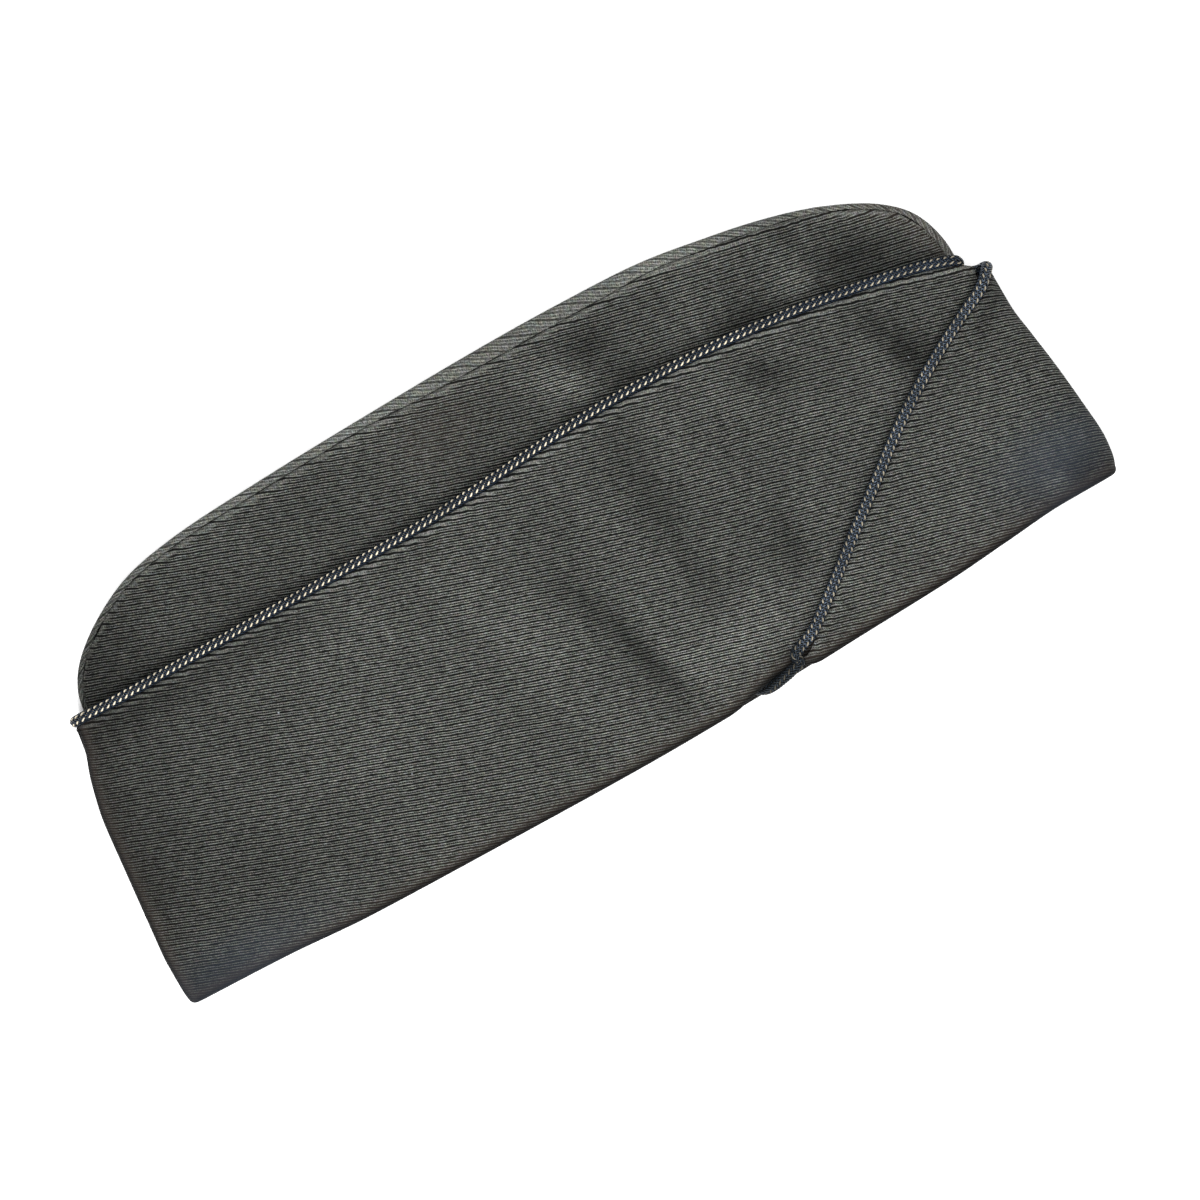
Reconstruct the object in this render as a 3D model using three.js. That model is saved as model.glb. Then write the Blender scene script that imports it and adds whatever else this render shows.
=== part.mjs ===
// A garrison cap lying flat on its left side. Millimetres, +Z up.
// +X points to the cap's front, +Y from the rim to the ridge, +Z out of the cap's right side.
// While it is built, x is counted from the back end and y from the lowest point of the rim.

import * as THREE from 'three';

// The cap as a whole
const capLength = 290; // back crease to front crease along the rim
const capHeight = 119.5; // rim to ridge
const curtainHeight = 89.4; // rim to the highest point of the braid on the curtain
const lapReach = 108; // how far the lap runs back along the rim from the front crease
const rimRise = 13; // how far the right side stands up over the left at the middle of the rim

// Cloth and braid
const curtainWall = 2; // doubled cloth of the turned-up curtain
const crownWall = 1.4;
const ridgeWall = 1.2;
const braidDiameter = 3.2;
const seat = 0.3; // what sewn layers keep between each other

// Folds
const creaseFold = 6; // thickness of the crown where it is folded flat at the back and front
const ridgeFold = 7.8; // thickness of the crown at the ridge, with the pleat between its sides
const ridgeRest = 0.6; // height of the ridge over the floor
const ridgeStrip = 5.3; // widest visible edge of the top strip above the side panel's seam
const ridgeRoll = 1.8; // outer radius of the strip's two folds along the ridge
const creaseRoll = 2.5; // outer radius of the strip's bend at the creases
const pleatDepth = 14; // how deep the strip is folded in between the side panels
const pleatGap = 0.35; // half of the space left between the pleat's two leaves
const backBend = 5; // depth of the curtain's rounded back crease
const frontBend = 6; // depth of the lap's rounded front crease
const creaseSlack = 1.05; // extra room between one layer and the next at a crease
const lapTuck = 3.8; // how far the right curtain's rim is lifted under the lap
const braidProud = 1.25; // how far the braid stands over the cloth beside it
const braidLift = 0.05; // what the lower braid keeps to the floor
const dentDepth = 1;
const rimFullness = 1.3; // more than 1 keeps the right side flatter near the creases
const braidClimb = [-11, -4]; // where the left side climbs over the lower braid and sinks again
const braidSink = [4, 12]; // to the floor, in braid radii past the braid
const pleatOpens = [0.3, 0.44]; // where the strip folds in and comes out again, as shares
const pleatCloses = [0.56, 0.68]; // of the way along the crown's outline

// Worked out from the sizes above
const layer = curtainWall + seat;
const footRadius = (curtainWall + seat + crownWall) / 2;
const braidRadius = braidDiameter / 2;
const braidSeat = braidRadius + 1.5 * seat;
const crownBackInset = layer + creaseSlack;
const crownFrontInset = 2 * (layer + creaseSlack);
const rightFrontInset = layer + creaseSlack;
const lapCloth = 0.865 * lapReach; // the lap's cloth ends here, and its braid runs on
const panelSeat = 1.6 * seat; // what the side panels keep to the top strip's seam
const narrowStrip = ridgeWall + 0.4;
const tuckFrom = 0.96; // where the right curtain's rim drops again behind the lap,
const tuckTo = 1.12; // as shares of the lap's reach

// The rim seen from the side: x as a share of the cap's length, y of its height
const rimRows = [
  { x: 0.0, y: 0.033 },
  { x: 0.1, y: 0.025 },
  { x: 0.19, y: 0.011 },
  { x: 0.33, y: 0.0045 },
  { x: 0.483, y: 0.0 },
  { x: 0.613, y: 0.0045 },
  { x: 0.71, y: 0.0135 },
  { x: 0.807, y: 0.022 },
  { x: 0.872, y: 0.034 },
  { x: 0.937, y: 0.045 },
  { x: 1.0, y: 0.045 },
];

// The back crease: y as a share of the cap's height, inset as a share of its length
const backRows = [
  { y: 0.03, inset: 0.0045 },
  { y: 0.047, inset: 0.001 },
  { y: 0.07, inset: 0.0 },
  { y: 0.137, inset: 0.0 },
  { y: 0.226, inset: 0.0028 },
  { y: 0.316, inset: 0.0065 },
  { y: 0.406, inset: 0.0102 },
  { y: 0.4955, inset: 0.0139 },
  { y: 0.585, inset: 0.0222 },
  { y: 0.6525, inset: 0.0315 },
  { y: 0.7085, inset: 0.0361 },
];

// The front crease, in the same shares
const frontRows = [
  { y: 0.042, inset: 0.0111 },
  { y: 0.054, inset: 0.0065 },
  { y: 0.09, inset: 0.0018 },
  { y: 0.137, inset: 0.0 },
  { y: 0.226, inset: 0.0028 },
  { y: 0.316, inset: 0.0065 },
  { y: 0.406, inset: 0.0116 },
  { y: 0.4955, inset: 0.0162 },
  { y: 0.7085, inset: 0.0167 },
];

// The braid along the curtain's top: x as a share of the cap's length, y of the curtain's height
const curtainRows = [
  { x: 0.037, y: 0.961 },
  { x: 0.099, y: 0.955 },
  { x: 0.377, y: 0.955 },
  { x: 0.469, y: 0.968 },
  { x: 0.562, y: 0.992 },
  { x: 0.63, y: 1.0 },
  { x: 0.701, y: 0.994 },
  { x: 0.794, y: 0.967 },
  { x: 0.886, y: 0.919 },
  { x: 0.932, y: 0.886 },
  { x: 0.969, y: 0.838 },
  { x: 0.9833, y: 0.793 },
];

// The braid down the lap's free edge: back as a share of the lap's reach from the front crease,
// y as a share of the curtain's height at that crease
const lapRows = [
  { back: 0.0, y: 1.0 },
  { back: 0.047, y: 0.939 },
  { back: 0.134, y: 0.875 },
  { back: 0.257, y: 0.773 },
  { back: 0.381, y: 0.655 },
  { back: 0.505, y: 0.511 },
  { back: 0.629, y: 0.367 },
  { back: 0.752, y: 0.22 },
  { back: 0.876, y: 0.083 },
];

// Where that braid goes round the rim to the inside: back as above, y as a share of the lap's
// height, and over as a share of the braid's diameter, out from the right curtain's face
const tuckRows = [
  { back: 0.9, y: 0.054, over: 0.6 },
  { back: 0.925, y: 0.041, over: 0.47 },
  { back: 0.95, y: 0.032, over: 0.19 },
  { back: 0.98, y: 0.025, over: -0.37 },
  { back: 1.005, y: 0.026, over: -1.12 },
  { back: 1.025, y: 0.042, over: -1.75 },
  { back: 1.045, y: 0.068, over: -1.9 },
];

// The crown's outline over the curtain: x as a share of the length between its two creases,
// y as a share of the rise from the curtain's top to the ridge
const domeRows = [
  { x: 0.0, y: 0.0 },
  { x: 0.007, y: 0.246 },
  { x: 0.022, y: 0.425 },
  { x: 0.0556, y: 0.627 },
  { x: 0.106, y: 0.813 },
  { x: 0.167, y: 0.903 },
  { x: 0.283, y: 0.955 },
  { x: 0.4146, y: 0.985 },
  { x: 0.536, y: 1.0 },
  { x: 0.632, y: 0.993 },
  { x: 0.718, y: 0.963 },
  { x: 0.7836, y: 0.888 },
  { x: 0.849, y: 0.791 },
  { x: 0.91, y: 0.649 },
  { x: 0.9606, y: 0.455 },
  { x: 0.987, y: 0.261 },
  { x: 1.0, y: 0.0 },
];
const creaseShares = [0.0, 0.2, 0.45, 0.66, 0.8]; // heights on the hidden creases below the dome
const shoulder = 0.934 * curtainHeight; // where the creases end and the dome starts

// The top strip's visible edge: x as a share of the cap's length, width of the widest
const stripRows = [
  { x: 0.0, width: 0.5 },
  { x: 0.045, width: 0.36 },
  { x: 0.08, width: 0.36 },
  { x: 0.19, width: 0.46 },
  { x: 0.33, width: 0.56 },
  { x: 0.4, width: 0.57 },
  { x: 0.47, width: 0.84 },
  { x: 0.56, width: 1.0 },
  { x: 0.65, width: 0.95 },
  { x: 0.73, width: 0.68 },
  { x: 0.8, width: 0.6 },
  { x: 0.87, width: 0.36 },
  { x: 0.93, width: 0.32 },
  { x: 0.96, width: 0.52 },
];

// Soft dents and swells of the right side: x and long and wide as shares of the cap's length,
// y of its height, rise of the dent depth, turn in degrees from +X
const dentRows = [
  { x: 0.525, y: 0.2, long: 0.07, wide: 0.042, turn: 81, rise: -1.0 },
  { x: 0.59, y: 0.18, long: 0.06, wide: 0.042, turn: 81, rise: 0.8 },
  { x: 0.3, y: 0.42, long: 0.09, wide: 0.05, turn: 20, rise: -0.6 },
  { x: 0.16, y: 0.3, long: 0.08, wide: 0.06, turn: 60, rise: 0.5 },
  { x: 0.585, y: 0.85, long: 0.05, wide: 0.04, turn: 80, rise: 0.5 },
  { x: 0.64, y: 0.82, long: 0.05, wide: 0.035, turn: 75, rise: -0.6 },
  { x: 0.771, y: 0.77, long: 0.04, wide: 0.035, turn: 60, rise: -0.5 },
  { x: 0.845, y: 0.76, long: 0.045, wide: 0.035, turn: 60, rise: -0.5 },
  { x: 0.75, y: 0.6, long: 0.05, wide: 0.035, turn: 100, rise: -0.5 },
];

// How finely the cloth is divided
const creaseSteps = 2; // stations in each interval of the crown's outline
const curtainRowsUp = 8;
const backBendSteps = 3;
const curtainSteps = 18;
const frontBendSteps = 8;
const lapSteps = 13;
const footAngles = [45, 90, 135, 180];
const clothSeam = 2.5; // degrees that each curtain keeps to the seam in the back crease
const braidSeam = 7;
const frontWrap = 25; // where the right curtain ends in the front crease, in degrees
const braidSides = 8;
const rightBraidSteps = 50;
const leftBraidSteps = 78;

const radians = THREE.MathUtils.degToRad;
const mix = THREE.MathUtils.lerp;
const smooth = THREE.MathUtils.smoothstep;
const vec = (x, y, z) => new THREE.Vector3(x, y, z);

// A smooth line through a table's rows that never overshoots them
function line(rows, across, up, acrossSize, upSize) {
  const xs = rows.map((row) => row[across] * acrossSize);
  const ys = rows.map((row) => row[up] * upSize);
  const steps = xs.slice(1).map((x, i) => (ys[i + 1] - ys[i]) / (x - xs[i]));
  const slopes = xs.map((x, i) => {
    if (i === 0) return steps[0];
    if (i === xs.length - 1) return steps[i - 1];
    if (steps[i - 1] * steps[i] <= 0) return 0;
    return (2 * steps[i - 1] * steps[i]) / (steps[i - 1] + steps[i]);
  });
  return (x) => {
    if (x <= xs[0]) return ys[0];
    if (x >= xs[xs.length - 1]) return ys[ys.length - 1];
    const i = xs.findIndex((next) => next > x) - 1;
    const width = xs[i + 1] - xs[i];
    const t = (x - xs[i]) / width;
    const early = (1 + 2 * t) * (1 - t) ** 2 * ys[i] + t * (1 - t) ** 2 * width * slopes[i];
    const late = t * t * (3 - 2 * t) * ys[i + 1] - t * t * (1 - t) * width * slopes[i + 1];
    return early + late;
  };
}

// Plan lines
const rimLine = line(rimRows, 'x', 'y', capLength, capHeight);
const backInset = line(backRows, 'y', 'inset', capHeight, capLength);
const frontInset = line(frontRows, 'y', 'inset', capHeight, capLength);
const backEdge = (y) => backInset(y);
const frontEdge = (y) => capLength - frontInset(y);
const curtainBraid = line(curtainRows, 'x', 'y', capLength, curtainHeight);
const lapCrease = frontEdge(curtainHeight);
const lapHeight = curtainBraid(lapCrease);
const lapLine = line(lapRows, 'back', 'y', lapReach, lapHeight);
const lapBraid = (x) => lapLine(lapCrease - x);
const stripWidth = line(stripRows, 'x', 'width', capLength, ridgeStrip);

// The right curtain's rim is lifted where the lap goes over it
function rightRim(x) {
  const back = (lapCrease - x) / lapReach;
  return rimLine(x) + lapTuck * (1 - smooth(back, tuckFrom, tuckTo));
}

// The crown's lower edge stays clear of that rim's rounded foot
function crownBottom(x) {
  const back = (lapCrease - x) / lapReach;
  const lift = lapTuck * (1 - smooth(back, tuckTo, 1.5 * tuckTo));
  return rimLine(x) + lift + footRadius + seat;
}

// The cloth stops below the braid that is sewn along its edge
function clothEdge(braid) {
  const reach = 1;
  return (x) => {
    const slope = (braid(x + reach) - braid(x - reach)) / (2 * reach);
    return braid(x) - braidSeat * Math.hypot(1, slope);
  };
}
const curtainTop = clothEdge(curtainBraid);
const lapTop = clothEdge(lapBraid);

// Heights over the floor
function dents(x, y) {
  let sum = 0;
  for (const dent of dentRows) {
    const dx = x - dent.x * capLength;
    const dy = y - dent.y * capHeight;
    const turn = radians(dent.turn);
    const along = (dx * Math.cos(turn) + dy * Math.sin(turn)) / (dent.long * capLength);
    const aside = (dy * Math.cos(turn) - dx * Math.sin(turn)) / (dent.wide * capLength);
    sum += dent.rise * dentDepth * Math.exp(-(along ** 2 + aside ** 2) / 2);
  }
  return sum;
}

function crownHigh(x, y) {
  const fromMiddle = Math.min(1, Math.abs((2 * x) / capLength - 1));
  const up = THREE.MathUtils.clamp(y / capHeight, 0, 1);
  const folded = mix(curtainWall + seat + creaseFold, ridgeRest + ridgeFold, up);
  const open = rimRise * (1 - fromMiddle ** 2) ** rimFullness * (1 - up ** 2);
  return folded + open + dents(x, y);
}

// The left side lies on its curtain, goes over the lower braid and sinks to the floor
function crownLow(x, y) {
  const onCurtain = layer;
  const overBraid = braidLift + braidDiameter + seat;
  const past = (y - curtainBraid(x)) / braidRadius;
  const climb = (overBraid - onCurtain) * smooth(past, ...braidClimb);
  const sink = (overBraid - ridgeRest) * smooth(past, ...braidSink);
  return onCurtain + climb - sink;
}

const rightHigh = (x, y) => crownHigh(x, y) + layer;
const lapHigh = (x, y) => crownHigh(x, y) + 2 * layer;

// The unit normal of a height function, upwards
function upward(surface, x, y) {
  const reach = 0.5;
  const slopeX = (surface(x + reach, y) - surface(x - reach, y)) / (2 * reach);
  const slopeY = (surface(x, y + reach) - surface(x, y - reach)) / (2 * reach);
  return vec(-slopeX, -slopeY, 1).normalize();
}

// A closed skin over a row of closed loops with equal numbers of points. Each loop runs along the
// cloth's outer face and back along its inner face, so the two ends are closed face to face.
function loft(loops) {
  const count = loops[0].length;
  const positions = loops.flatMap((loop) => loop.flatMap((p) => [p.x, p.y, p.z]));
  const index = [];
  for (let i = 0; i + 1 < loops.length; i += 1) {
    for (let k = 0; k < count; k += 1) {
      const a = i * count + k;
      const b = i * count + ((k + 1) % count);
      index.push(a, a + count, b, b, a + count, b + count);
    }
  }
  const last = (loops.length - 1) * count;
  for (let i = 0, j = count - 1; i + 1 < j; i += 1, j -= 1) {
    index.push(i, i + 1, j, last + i, last + j, last + i + 1);
    if (i + 1 < j - 1) index.push(i + 1, j - 1, j, last + i + 1, last + j, last + j - 1);
  }
  const geometry = new THREE.BufferGeometry();
  geometry.setAttribute('position', new THREE.Float32BufferAttribute(positions, 3));
  geometry.setIndex(volume(positions, index) < 0 ? flipped(index) : index);
  geometry.computeVertexNormals();
  return geometry;
}

function flipped(index) {
  return index.map((value, i) => (i % 3 === 1 ? index[i + 1] : i % 3 === 2 ? index[i - 1] : value));
}

function volume(positions, index) {
  const corner = (i) => vec(...positions.slice(3 * i, 3 * i + 3));
  let sum = 0;
  for (let i = 0; i < index.length; i += 3) {
    sum += corner(index[i]).dot(corner(index[i + 1]).cross(corner(index[i + 2])));
  }
  return sum / 6;
}

// A column of curtain cloth: place(y) is its outer face, out(y) the normal there.
// The edges are found where the lines below and above cross the column.
function settle(place, edge) {
  let y = edge(place(curtainHeight / 2).x);
  for (let i = 0; i < 6; i += 1) y = edge(place(y).x);
  return y;
}

function curtainLoop(column) {
  const low = settle(column.place, (x) => column.low(x) + footRadius);
  const high = settle(column.place, column.high);
  const outer = [];
  const inner = [];
  for (let k = 0; k <= curtainRowsUp; k += 1) {
    const y = mix(low, high, k / curtainRowsUp);
    const out = column.out(y);
    outer.push(column.place(y));
    inner.push(column.place(y).addScaledVector(out, -curtainWall));
  }
  const out = column.out(low);
  const centre = column.place(low).addScaledVector(out, -footRadius);
  const foot = footAngles.map((degrees) => {
    const angle = radians(degrees);
    const point = centre.clone().addScaledVector(out, footRadius * Math.cos(angle));
    return point.add(vec(0, -footRadius * Math.sin(angle), 0));
  });
  return [...outer.reverse(), ...foot, ...inner];
}

// Columns round a crease. side is -1 on the left of the cap, 1 on its right.
// The crease is half an ellipse in plan, from the floor to the height of the layer above.
function backColumn(degrees, side, low, high) {
  const angle = radians(degrees);
  const half = (y) => rightHigh(backEdge(y) + backBend, y) / 2;
  return {
    place: (y) => vec(
      backEdge(y) + backBend * (1 - Math.cos(angle)), y, half(y) * (1 + side * Math.sin(angle)),
    ),
    out: (y) => vec(-Math.cos(angle) / backBend, 0, (side * Math.sin(angle)) / half(y)).normalize(),
    low,
    high,
  };
}

function frontColumn(degrees, side, edge, bend, surface, low, high) {
  const angle = radians(degrees);
  const half = (y) => surface(edge(y) - bend, y) / 2;
  return {
    place: (y) => vec(
      edge(y) - bend * (1 - Math.cos(angle)), y, half(y) * (1 + side * Math.sin(angle)),
    ),
    out: (y) => vec(Math.cos(angle) / bend, 0, (side * Math.sin(angle)) / half(y)).normalize(),
    low,
    high,
  };
}

function surfaceColumn(across, surface, low, high) {
  const place = (y) => vec(across(y), y, surface(across(y), y));
  return { place, out: (y) => upward(surface, across(y), y), low, high };
}

const floorColumn = (across, low, high) => ({
  place: (y) => vec(across(y), y, 0),
  out: () => vec(0, 0, -1),
  low,
  high,
});

const rightFront = (y) => frontEdge(y) - rightFrontInset;

// Shares of the way along the side, with more of them where the rim is lifted
function sideShares() {
  const even = Array.from({ length: curtainSteps + 1 }, (_, i) => i / curtainSteps);
  const tuck = [tuckFrom, tuckTo].map((back) => (lapCrease - back * lapReach) / capLength);
  const extra = [0, 0.33, 0.67, 1].map((t) => mix(tuck[0], tuck[1], t));
  const apart = 0.3 / curtainSteps;
  return [...even.filter((q) => extra.every((e) => Math.abs(q - e) > apart)), ...extra].sort(
    (a, b) => a - b,
  );
}

function rightColumns(seamAngle) {
  const columns = [];
  for (let i = 0; i < backBendSteps; i += 1) {
    const angle = mix(seamAngle, 90, i / backBendSteps);
    columns.push(backColumn(angle, 1, rightRim, curtainTop));
  }
  for (const share of sideShares()) {
    const across = (y) => mix(backEdge(y) + backBend, rightFront(y) - backBend, share);
    columns.push(surfaceColumn(across, rightHigh, rightRim, curtainTop));
  }
  for (let i = 1; i <= backBendSteps; i += 1) {
    const angle = mix(90, frontWrap, i / backBendSteps);
    columns.push(frontColumn(angle, 1, rightFront, backBend, rightHigh, rightRim, curtainTop));
  }
  return columns;
}

function leftColumns(seamAngle) {
  const columns = [];
  for (let i = 0; i < backBendSteps; i += 1) {
    const angle = mix(seamAngle, 90, i / backBendSteps);
    columns.push(backColumn(angle, -1, rimLine, curtainTop));
  }
  for (let i = 0; i < curtainSteps; i += 1) {
    const across = (y) => mix(backEdge(y) + backBend, frontEdge(y) - frontBend, i / curtainSteps);
    columns.push(floorColumn(across, rimLine, curtainTop));
  }
  for (let i = 0; i < frontBendSteps; i += 1) {
    const angle = mix(-90, 90, i / frontBendSteps);
    const side = Math.sign(angle) || 1;
    const high = angle < 0 ? curtainTop : lapTop;
    columns.push(
      frontColumn(Math.abs(angle), side, frontEdge, frontBend, lapHigh, rimLine, high),
    );
  }
  for (let i = 0; i <= lapSteps; i += 1) {
    const across = (y) => mix(frontEdge(y) - frontBend, lapCrease - lapCloth, i / lapSteps);
    columns.push(surfaceColumn(across, lapHigh, rimLine, lapTop));
  }
  return columns;
}

// The crown's outline in plan, from the back rim over the ridge to the front rim
function crownOutline() {
  const backX = (y) => backEdge(y) + crownBackInset;
  const frontX = (y) => frontEdge(y) - crownFrontInset;
  const crease = (edge) => creaseShares.map((share) => {
    const y = mix(crownBottom(edge(footRadius)), shoulder, share);
    return vec(edge(y), y, 0);
  });
  const dome = domeRows.map((row) => vec(
    mix(backX(shoulder), frontX(shoulder), row.x), mix(shoulder, capHeight, row.y), 0,
  ));
  return [...crease(backX), ...dome, ...crease(frontX).reverse()];
}

// Stations along it, each with the outward normal and the seam's inset
function crownStations() {
  const points = crownOutline();
  const curve = new THREE.CatmullRomCurve3(points, false, 'centripetal');
  const count = (points.length - 1) * creaseSteps;
  const stations = [];
  for (let i = 0; i <= count; i += 1) {
    const point = curve.getPoint(i / count);
    const tangent = curve.getTangent(i / count);
    const out = vec(-tangent.y, tangent.x, 0);
    stations.push({ point, out, width: Math.max(stripWidth(point.x), narrowStrip) });
  }
  return stations;
}

const stations = crownStations();
const creaseCount = creaseShares.length * creaseSteps;

// A side panel of the crown fills the stations' seam from side to side and down to its rim
function panelGrid() {
  const seam = stations.map((s) => (
    s.point.clone().addScaledVector(s.out, -s.width - panelSeat)
  ));
  const back = seam.slice(0, creaseCount + 1);
  const front = seam.slice(seam.length - creaseCount - 1).reverse();
  const top = seam.slice(creaseCount, seam.length - creaseCount);
  const first = top[0];
  const last = top[top.length - 1];
  return top.map((above) => {
    const s = (above.x - first.x) / (last.x - first.x);
    return back.map((left, j) => {
      const right = front[j];
      const t = (left.y - back[0].y) / (first.y - back[0].y);
      const x = mix(back[0].x, front[0].x, s);
      const below = vec(x, crownBottom(x), 0);
      const between = below.clone().lerp(above, t);
      const sides = left.clone().lerp(right, s);
      const corners = back[0].clone().lerp(front[0], s).lerp(first.clone().lerp(last, s), t);
      return between.add(sides).sub(corners);
    });
  });
}

function crownPanel(surface, side) {
  const loops = panelGrid().map((column) => {
    const outer = column.map((p) => vec(p.x, p.y, surface(p.x, p.y)));
    const inner = outer.map((p) => {
      const up = upward(surface, p.x, p.y);
      return p.clone().addScaledVector(up, -side * crownWall);
    });
    return [...outer, ...inner.reverse()];
  });
  return loft(loops);
}

// The top strip's section: two rolls along the ridge and the pleat folded in between them.
// Where pleat is 0 it is one plain bend from the right seam to the left seam.
// Each point has its place out from the ridge and up from the middle, and its normal's angle.
function stripLoop(station, pleat) {
  const seam = station.point.clone().addScaledVector(station.out, -station.width);
  const high = crownHigh(seam.x, seam.y);
  const low = crownLow(seam.x, seam.y);
  const middle = (high + low) / 2;
  const half = high - middle;
  const plainRoll = Math.min(creaseRoll, station.width - seat / 2);
  const roll = mix(plainRoll, Math.min(ridgeRoll, (half - pleatGap) / 2), pleat);
  const onRoll = (angle) => ({
    out: roll * (Math.cos(radians(angle)) - 1),
    up: half - roll * (1 - Math.sin(radians(angle))),
    angle,
  });
  const bent = (share) => ({ out: 0, up: (half - roll) * share, angle: 0 });
  const plain = [bent(0.75), bent(0.5), bent(0.25), bent(0)];
  const folded = [
    onRoll(-45),
    onRoll(-90),
    { out: -pleatDepth, up: pleatGap, angle: -90 },
    { out: -pleatDepth - pleatGap, up: 0, angle: 0 },
  ];
  const inside = plain.map((p, i) => ({
    out: mix(p.out, folded[i].out, pleat),
    up: mix(p.up, folded[i].up, pleat),
    angle: mix(p.angle, folded[i].angle, pleat),
  }));
  const outside = [{ out: -station.width, up: half, angle: 90 }, onRoll(90), onRoll(45), onRoll(0)];
  const right = [...outside, ...inside];
  const left = right.slice(0, -1).map((p) => ({ ...p, mirrored: true })).reverse();
  const face = [...right, ...left];
  const at = (p, depth) => {
    const out = p.out - depth * Math.cos(radians(p.angle));
    const up = (p.up - depth * Math.sin(radians(p.angle))) * (p.mirrored ? -1 : 1);
    return station.point.clone().addScaledVector(station.out, out).setZ(middle + up);
  };
  return [...face.map((p) => at(p, 0)), ...face.map((p) => at(p, ridgeWall)).reverse()];
}

function topStrip() {
  const last = stations.length - 1;
  const loops = stations.map((station, i) => {
    const opening = smooth(i / last, ...pleatOpens);
    const closing = 1 - smooth(i / last, ...pleatCloses);
    return stripLoop(station, opening * closing);
  });
  return loft(loops);
}

// The braid's middle beside a column's free edge
function besideColumn(column, braid, sunk) {
  const y = settle(column.place, braid);
  return column.place(y).addScaledVector(column.out(y), -sunk);
}

function rightBraidPath() {
  const sunk = braidRadius - braidProud;
  return rightColumns(braidSeam).map((column) => besideColumn(column, curtainBraid, sunk));
}

// Under the cap the braid lies beside the cloth on the floor. It comes round the front crease,
// runs down the lap's edge and goes round the rim to the inside.
function leftBraidPath() {
  const besideEdge = braidRadius - braidProud;
  const onFloor = braidRadius + braidLift;
  const columns = leftColumns(braidSeam);
  const path = columns.map((column, i) => {
    const fromBack = smooth(i, 0, backBendSteps);
    const toFront = smooth(i, backBendSteps + curtainSteps, backBendSteps + curtainSteps + 3);
    const sunk = mix(mix(besideEdge, onFloor, fromBack), besideEdge, toFront);
    const braid = column.high === lapTop ? lapBraid : curtainBraid;
    return besideColumn(column, braid, sunk);
  });
  const tuck = tuckRows.map((row) => {
    const x = lapCrease - row.back * lapReach;
    const y = row.y * lapHeight;
    const face = rightRim(x) + footRadius;
    const z = rightHigh(x, Math.max(y, face)) + row.over * braidDiameter;
    return vec(x, y, z);
  });
  return [...path, ...tuck];
}

function braid(path, steps) {
  const corners = Array.from({ length: braidSides }, (_, i) => {
    const angle = (2 * Math.PI * (i + 0.5)) / braidSides;
    return new THREE.Vector2(braidRadius * Math.cos(angle), braidRadius * Math.sin(angle));
  });
  return new THREE.ExtrudeGeometry(new THREE.Shape(corners), {
    steps,
    bevelEnabled: false,
    extrudePath: new THREE.CatmullRomCurve3(path, false, 'centripetal'),
  });
}

// Materials
function cloth(name, color) {
  return new THREE.MeshStandardMaterial({ name, color, roughness: 0.95, metalness: 0 });
}
const serge = cloth('grey-green serge', 0x4b4d49);
const curtainSerge = cloth('grey-green serge, doubled', 0x4e504c);
const cordage = new THREE.MeshStandardMaterial({
  name: 'navy and gold braid', color: 0x2a2f3a, roughness: 0.7, metalness: 0,
});

const cap = new THREE.Group();
cap.name = 'garrison cap';

function add(name, geometry, material) {
  const mesh = new THREE.Mesh(geometry, material);
  mesh.name = name;
  cap.add(mesh);
}

add('crown_right', crownPanel(crownHigh, 1), serge);
add('crown_left', crownPanel(crownLow, -1), serge);
add('crown_top', topStrip(), serge);
add('curtain_right', loft(rightColumns(clothSeam).map(curtainLoop)), curtainSerge);
add('curtain_left', loft(leftColumns(clothSeam).map(curtainLoop)), curtainSerge);
add('piping_right', braid(rightBraidPath(), rightBraidSteps), cordage);
add('piping_left', braid(leftBraidPath(), leftBraidSteps), cordage);

// The origin is under the middle of the cap, on the floor
const box = new THREE.Box3().setFromObject(cap);
const middle = box.getCenter(vec(0, 0, 0));
cap.position.set(-middle.x, -middle.y, -box.min.z);

export default cap;
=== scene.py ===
# A garrison cap lying flat on its left side, seen square on from above its right side.
# Shapes are worked out in millimetres, with x from the cap's back end and y from the rim's
# lowest point, and become metres in the frame's own place when a mesh is made.

import math
from collections import namedtuple

import bpy
import numpy as np
from mathutils import Matrix, Vector


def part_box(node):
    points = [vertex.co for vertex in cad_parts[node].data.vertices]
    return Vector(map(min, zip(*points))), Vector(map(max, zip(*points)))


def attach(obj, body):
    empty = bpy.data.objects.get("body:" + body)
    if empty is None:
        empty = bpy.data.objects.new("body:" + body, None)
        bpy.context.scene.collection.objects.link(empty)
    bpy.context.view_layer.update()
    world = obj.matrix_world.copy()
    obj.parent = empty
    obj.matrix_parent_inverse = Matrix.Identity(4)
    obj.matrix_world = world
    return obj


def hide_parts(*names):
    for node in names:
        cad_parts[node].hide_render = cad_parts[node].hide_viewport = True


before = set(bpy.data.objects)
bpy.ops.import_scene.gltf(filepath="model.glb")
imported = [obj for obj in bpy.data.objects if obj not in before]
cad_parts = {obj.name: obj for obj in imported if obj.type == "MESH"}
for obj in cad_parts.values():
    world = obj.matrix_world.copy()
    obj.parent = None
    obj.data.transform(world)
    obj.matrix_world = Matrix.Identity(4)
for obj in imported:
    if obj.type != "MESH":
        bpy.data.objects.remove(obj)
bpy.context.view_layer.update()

# The cap as a whole
CAP_LENGTH = 290.0
CAP_HEIGHT = 119.5
CURTAIN_HEIGHT = 89.4
LAP_REACH = 108.0
RIM_RISE = 13.0

# Cloth and braid
CURTAIN_WALL = 2.0
CROWN_WALL = 1.4
RIDGE_WALL = 1.2
BRAID_DIAMETER = 3.2
SEAT = 0.3

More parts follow.
